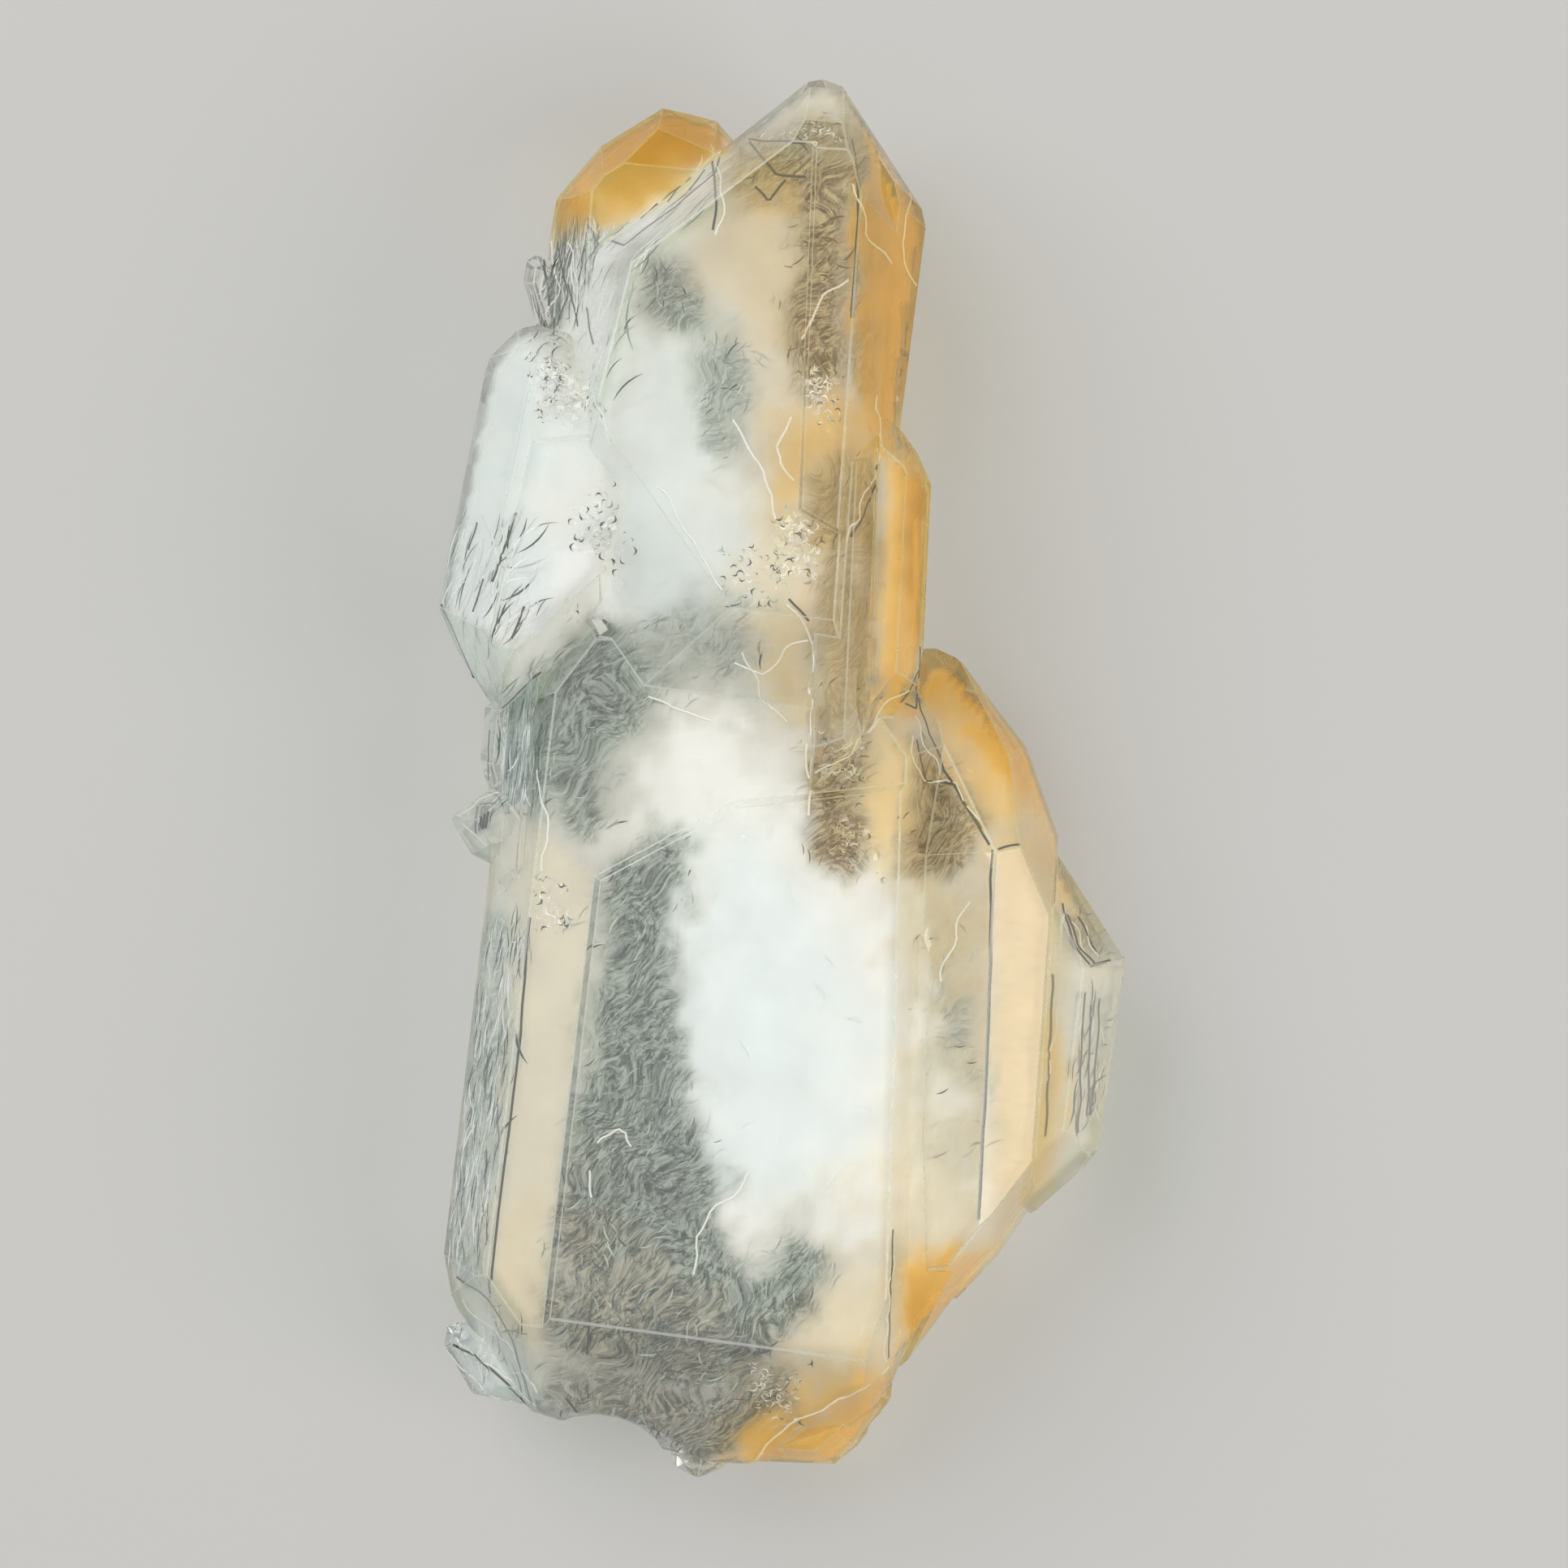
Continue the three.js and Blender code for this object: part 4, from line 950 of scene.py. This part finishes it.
def wisp_tree():
    """Sets a fine, bent, tapering ribbon on each point."""
    tree, given, result = new_tree("wisps", {
        "Width": ("NodeSocketFloat", 0.12), "Bend": ("NodeSocketFloat", 0.2)})
    grid = add_node(tree, "GeometryNodeMeshGrid",
                    {"Size X": 2.0, "Size Y": 1.0, "Vertices X": 6, "Vertices Y": 2})
    place = tree.nodes.new("GeometryNodeInputPosition").outputs[0]
    split = add_node(tree, "ShaderNodeSeparateXYZ", {0: place})
    along = maths(tree, "MULTIPLY", split.outputs[0], split.outputs[0])
    taper = maths(tree, "SUBTRACT", 1.0, maths(tree, "MULTIPLY", along, 0.85))
    width = maths(tree, "MULTIPLY", maths(tree, "MULTIPLY", split.outputs[1], taper), given.outputs["Width"])
    rise = maths(tree, "MULTIPLY", along, given.outputs["Bend"])
    shape = add_node(tree, "ShaderNodeCombineXYZ",
                     {0: split.outputs[0], 1: maths(tree, "ADD", width, rise), 2: 0.0})
    bent = add_node(tree, "GeometryNodeSetPosition",
                    {"Geometry": grid.outputs[0], "Position": shape.outputs[0]})
    set_on_points(tree, given, result, bent.outputs[0])
    return tree


def crack_tree():
    """Draws a fine tapering rod along each path."""
    tree, given, result = new_tree("cracks", {"Radius": ("NodeSocketFloat", 0.04 * MM)})
    path = add_node(tree, "GeometryNodeMeshToCurve", {"Mesh": given.outputs["Geometry"]})
    smooth = add_node(tree, "GeometryNodeCurveSplineType", {"Curve": path.outputs[0]},
                      spline_type="CATMULL_ROM")
    fine = add_node(tree, "GeometryNodeResampleCurve", {"Curve": smooth.outputs[0], "Count": 14})
    share = tree.nodes.new("GeometryNodeSplineParameter").outputs["Factor"]
    ends = maths(tree, "MULTIPLY", share, maths(tree, "SUBTRACT", 1.0, share))
    taper = maths(tree, "ADD", maths(tree, "MULTIPLY", ends, 3.6), 0.1)
    sized = add_node(tree, "GeometryNodeSetCurveRadius", {"Curve": fine.outputs[0], "Radius": taper})
    ring = add_node(tree, "GeometryNodeCurvePrimitiveCircle",
                    {"Resolution": 5, "Radius": given.outputs["Radius"]})
    rod = add_node(tree, "GeometryNodeCurveToMesh",
                   {"Curve": sized.outputs[0], "Profile Curve": ring.outputs[0], "Fill Caps": True})
    real = add_node(tree, "GeometryNodeRealizeInstances", {0: rod.outputs[0]})
    painted = add_node(tree, "GeometryNodeSetMaterial",
                       {"Geometry": real.outputs[0], "Material": given.outputs["Material"]})
    tree.links.new(painted.outputs[0], result.inputs[0])
    return tree


def grown(name, points, tree, values):
    """Runs a geometry tree on a point cloud and keeps the result as a plain mesh."""
    source = placed_mesh(name + "_source", points)
    modifier = source.modifiers.new("grow", "NODES")
    modifier.node_group = tree
    sockets = {item.name: item.identifier for item in tree.interface.items_tree if item.in_out == "INPUT"}
    for label, value in values.items():
        modifier[sockets[label]] = value
    piece = placed_mesh(name, settled_mesh(source))
    piece.visible_shadow = False
    return piece


def any_turns(rng, count):
    """Turns every way."""
    return [[rng.uniform(0, 2 * math.pi) for _ in range(3)] for _ in range(count)]


class QUARTZ_OT_cloud(bpy.types.Operator):
    """Fills the crystal with the milky veils and flakes of the cloud and the stain"""

    bl_idname = "quartz.cloud"
    bl_label = "Milky cloud"

    def execute(self, context):
        settings = context.scene.quartz_cloud
        solid = solid_tree()
        rng = random.Random(settings.seed)
        veils = veil_mesh(settings, solid)
        veils.materials.append(inclusion("milky_veil", VEIL_OPACITY, 0.6))
        veils.materials.append(felted(inclusion("felted_veil", VEIL_OPACITY, 0.6)))
        sheet = placed_mesh("milky_veils", veils)
        sheet.visible_shadow = False
        finish_piece(sheet)

        def chance(x, y):
            amount = zone_reader(x, y)
            return 0.06 + 0.94 * np.maximum(amount(MILK), 0.6 * amount(AMBER))

        places, sizes = scatter(solid, rng, settings.milk_flakes, chance, settings.flake_size)
        x, y = (np.array([p[i] for p in places]) / MM for i in (0, 1))
        tint = inside_look(x, y, 0.3, 1.0)[0]
        points = point_cloud("milky_flakes", places, sizes, any_turns(rng, len(places)), tint)
        film = inclusion("milky_flake", FLAKE_OPACITY, 0.6)
        finish_piece(grown("milky_flakes", points, flake_tree(), {"Material": film}))
        return {"FINISHED"}


def wisp_tints(rng, x, y, pale_share):
    """Colours for wisps: dark grey-green or brown ones, and a share of pale ones.

    Among the glints and crumbs more are pale.
    """
    amount = zone_reader(x, y)
    brown = amount(BROWN_WISP) > np.maximum(amount(GREEN_WISP), amount(STREAKS))
    # The glints are pale streaks of painted reflection. The crumbs and streaks are pale inclusions.
    sure = amount(GLINTS + CRUMBS) > 0.3
    bright = sure | (amount(STREAKS) > 0.3)
    dark = np.where(brown[:, None], DARK_BROWN_WISP, DARK_GREEN_WISP)
    light = np.where(brown[:, None], PALE_BROWN_WISP, PALE_GREEN_WISP)
    light = np.where(bright[:, None], BRIGHT_WISP_AND_GLINT, light)
    pale = np.array([rng.random() < pale_share for _ in x])
    pale = pale | (sure & np.array([rng.random() < 0.4 for _ in x]))
    colours = np.where(pale[:, None], light, dark)
    return np.clip(colours * np.array([[rng.uniform(0.6, 1.15)] for _ in x]), 0, 1)


def wisp_turns(rng, places, bearing, sway, jitter):
    """Turns for wisps that flow like fur: their bearing sways smoothly from place to place."""
    turns = []
    for place in places:
        drift = sway * noise.noise(place / (2.6 * MM))
        tilt = (rng.choice((0, math.pi)) + rng.uniform(-0.5, 0.5), rng.uniform(-0.5, 0.5))
        turns.append((*tilt, bearing + drift + rng.gauss(0, jitter)))
    return turns


class QUARTZ_OT_wisps(bpy.types.Operator):
    """Adds the grey-green and brown wisps, the streaks, the glints and the crumbs"""

    bl_idname = "quartz.wisps"
    bl_label = "Wisps"

    def execute(self, context):
        settings = context.scene.quartz_cloud
        solid = solid_tree()
        rng = random.Random(settings.seed + 1)
        film = inclusion("wisp", 1.0, 0.5)

        def grow_wisps(name, placed, tree, values, pale_share):
            places, sizes, turns = placed
            x, y = (np.array([p[i] for p in places]) / MM for i in (0, 1))
            points = point_cloud(name, places, sizes, turns, wisp_tints(rng, x, y, pale_share))
            finish_piece(grown(name, points, tree, {**values, "Material": film}))

        felt = GREEN_WISP + BROWN_WISP
        places, sizes = scatter(
            solid, rng, settings.wisps, lambda x, y: zone_reader(x, y)(felt), 0.5 * settings.wisp_length)
        turns = wisp_turns(rng, places, 0.8, 1.6, 0.4)
        grow_wisps("felt", (places, sizes, turns), wisp_tree(), {"Width": 0.2}, 0.5)
        for name, zones, count, reach, bearing, jitter, tree, values in (
                ("streaks", STREAKS, settings.streaks, 0.8, 1.35, 0.4, wisp_tree(), {"Width": 0.14}),
                ("glints", GLINTS, settings.glints, 1.1, 0.9, 0.3, wisp_tree(), {"Width": 0.09}),
                ("crumbs", CRUMBS, settings.crumbs, 0.2, 0.8, 1.5, wisp_tree(), {"Width": 0.5, "Bend": 0.8})):
            placed = under_faces(
                solid, rng, count, lambda x, y, zones=zones: zone_reader(x, y)(zones),
                reach * settings.wisp_length, bearing, jitter)
            grow_wisps(name, placed, tree, values, 0.6)
        return {"FINISHED"}


def paths_under_faces(solid, paths, depth, wander, tint):
    """Paths as a mesh of loose lines that wander a little, at a depth under the front faces.

    A line breaks where the front has a step.
    """
    noise.seed_set(SWAY_SEED)
    places, lines = [], []
    for path in paths:
        last = None
        for (ax, ay), (bx, by) in zip(path, path[1:]):
            steps = math.ceil(math.hypot(bx - ax, by - ay) / 0.3)
            for step in range(steps + 1):
                x, y = ax + (bx - ax) * step / steps, ay + (by - ay) * step / steps
                sway = wander * noise.noise_vector(Vector((x, y, 0)) / 0.9)
                x, y = x + sway.x, y + sway.y
                top = solid.ray_cast(Vector((x * MM, y * MM, 1)), Vector((0, 0, -1)))[0]
                if top and last and 0 < (top - last).length < 0.7 * MM:
                    lines.append((len(places) - 1, len(places)))
                if top and top != last:
                    places.append(top - Vector((0, 0, depth)))
                last = top
    mesh = bpy.data.meshes.new("paths")
    mesh.from_pydata(places, lines, [])
    layer = mesh.attributes.new("tint", "FLOAT_COLOR", "POINT")
    layer.data.foreach_set("color", rgba(tint) * len(places))
    return mesh


class QUARTZ_OT_cracks(bpy.types.Operator):
    """Draws the bright healed cracks and the dark lines of painted shade beside edges, just under the front
    faces
    """

    bl_idname = "quartz.cracks"
    bl_label = "Healed cracks"

    def execute(self, context):
        settings = context.scene.quartz_cloud
        solid = solid_tree()
        film = inclusion("healed_crack", 1.0, 0.3)
        # The dark seams are painted shade that lies beside the edges.
        for name, paths, radius, wander, tint in (
                ("healed_cracks", CRACKS, settings.crack_radius, 0.3, WHITE_MILK),
                ("dark_seams", SHADE_LINES, settings.shade_line_radius, 0.08, PAINTED_SHADE_LINE)):
            lines = paths_under_faces(solid, paths, settings.crack_depth, wander, tint)
            finish_piece(grown(name, lines, crack_tree(), {"Radius": radius, "Material": film}))
        return {"FINISHED"}


def aim(thing, target):
    thing.rotation_euler = (Vector(target) - thing.location).to_track_quat("-Z", "Y").to_euler()


def soft_light(name, place, target, size, power, colour):
    lamp = bpy.data.lights.new(name, "AREA")
    lamp.shape = "DISK"
    lamp.size = size
    lamp.energy = power
    lamp.color = colour
    thing = bpy.data.objects.new(name, lamp)
    bpy.context.scene.collection.objects.link(thing)
    thing.location = place
    aim(thing, target)


class QUARTZ_OT_stage(bpy.types.Operator):
    """Adds the floor, the soft lights and the camera"""

    bl_idname = "quartz.stage"
    bl_label = "Stage"

    def execute(self, context):
        settings = context.scene.quartz_stage
        scene = context.scene
        mesh = bpy.data.meshes.new("floor")
        reach = 3.0
        mesh.from_pydata([(-reach, -reach, 0), (reach, -reach, 0), (reach, reach, 0), (-reach, reach, 0)], [],
                         [(0, 1, 2, 3)])
        material = bpy.data.materials.new("floor")
        material.use_nodes = True
        plain = material.node_tree.nodes["Principled BSDF"]
        plain.inputs["Base Color"].default_value = rgba(settings.floor_colour)
        plain.inputs["Roughness"].default_value = 0.9
        mesh.materials.append(material)
        floor = placed_mesh("floor", mesh)

        world = bpy.data.worlds.new("studio")
        world.use_nodes = True
        background = world.node_tree.nodes["Background"]
        background.inputs["Color"].default_value = (0.95, 0.97, 1.0, 1)
        background.inputs["Strength"].default_value = 0.335
        scene.world = world

        middle = (0, 0, 0.005)
        soft_light("window", (-0.35, 0.30, 0.45), middle, 0.55, 2.75, (1.0, 0.98, 0.95))
        soft_light("fill", (0.40, -0.15, 0.35), middle, 0.40, 1.42, (1.0, 0.97, 0.92))

        camera = bpy.data.cameras.new("camera")
        camera.lens = settings.lens
        camera.sensor_width = 36.0
        camera.clip_start = 0.01
        view = bpy.data.objects.new("camera", camera)
        scene.collection.objects.link(view)
        view.location = (0.00005, -0.00008, 0.006 + settings.lens * 57.96 / 36.0 * MM)
        view.rotation_euler = (0, 0, 0)
        scene.camera = view

        scene.view_settings.view_transform = "Standard"
        scene.cycles.transparent_max_bounces = 20
        scene.cycles.transmission_bounces = 4
        scene.cycles.diffuse_bounces = 2
        scene.cycles.max_bounces = 6
        return {"FINISHED"}


class QUARTZ_PT_panel(bpy.types.Panel):
    """Lists the crystal's pieces"""

    bl_idname = "QUARTZ_PT_panel"
    bl_label = "Faden quartz"
    bl_space_type = "VIEW_3D"
    bl_region_type = "UI"
    bl_category = "Quartz"

    def draw(self, context):
        for operator in OPERATORS:
            self.layout.operator(operator.bl_idname)
        for group in (context.scene.quartz_faces, context.scene.quartz_cloud, context.scene.quartz_stage):
            for name in group.__annotations__:
                self.layout.prop(group, name)


SETTINGS = {
    "quartz_faces": QuartzFaceSettings,
    "quartz_cloud": QuartzCloudSettings,
    "quartz_stage": QuartzStageSettings,
}
OPERATORS = (QUARTZ_OT_faces, QUARTZ_OT_cloud, QUARTZ_OT_wisps, QUARTZ_OT_cracks, QUARTZ_OT_stage)


def register():
    for cls in (*SETTINGS.values(), *OPERATORS, QUARTZ_PT_panel):
        bpy.utils.register_class(cls)
    for name, group in SETTINGS.items():
        setattr(bpy.types.Scene, name, bpy.props.PointerProperty(type=group))


def unregister():
    for name in SETTINGS:
        delattr(bpy.types.Scene, name)
    for cls in (QUARTZ_PT_panel, *reversed(OPERATORS), *reversed(SETTINGS.values())):
        bpy.utils.unregister_class(cls)


def main():
    register()
    bpy.ops.quartz.faces()
    bpy.ops.quartz.cloud()
    bpy.ops.quartz.wisps()
    bpy.ops.quartz.cracks()
    bpy.ops.quartz.stage()


if __name__ == "__main__":
    main()
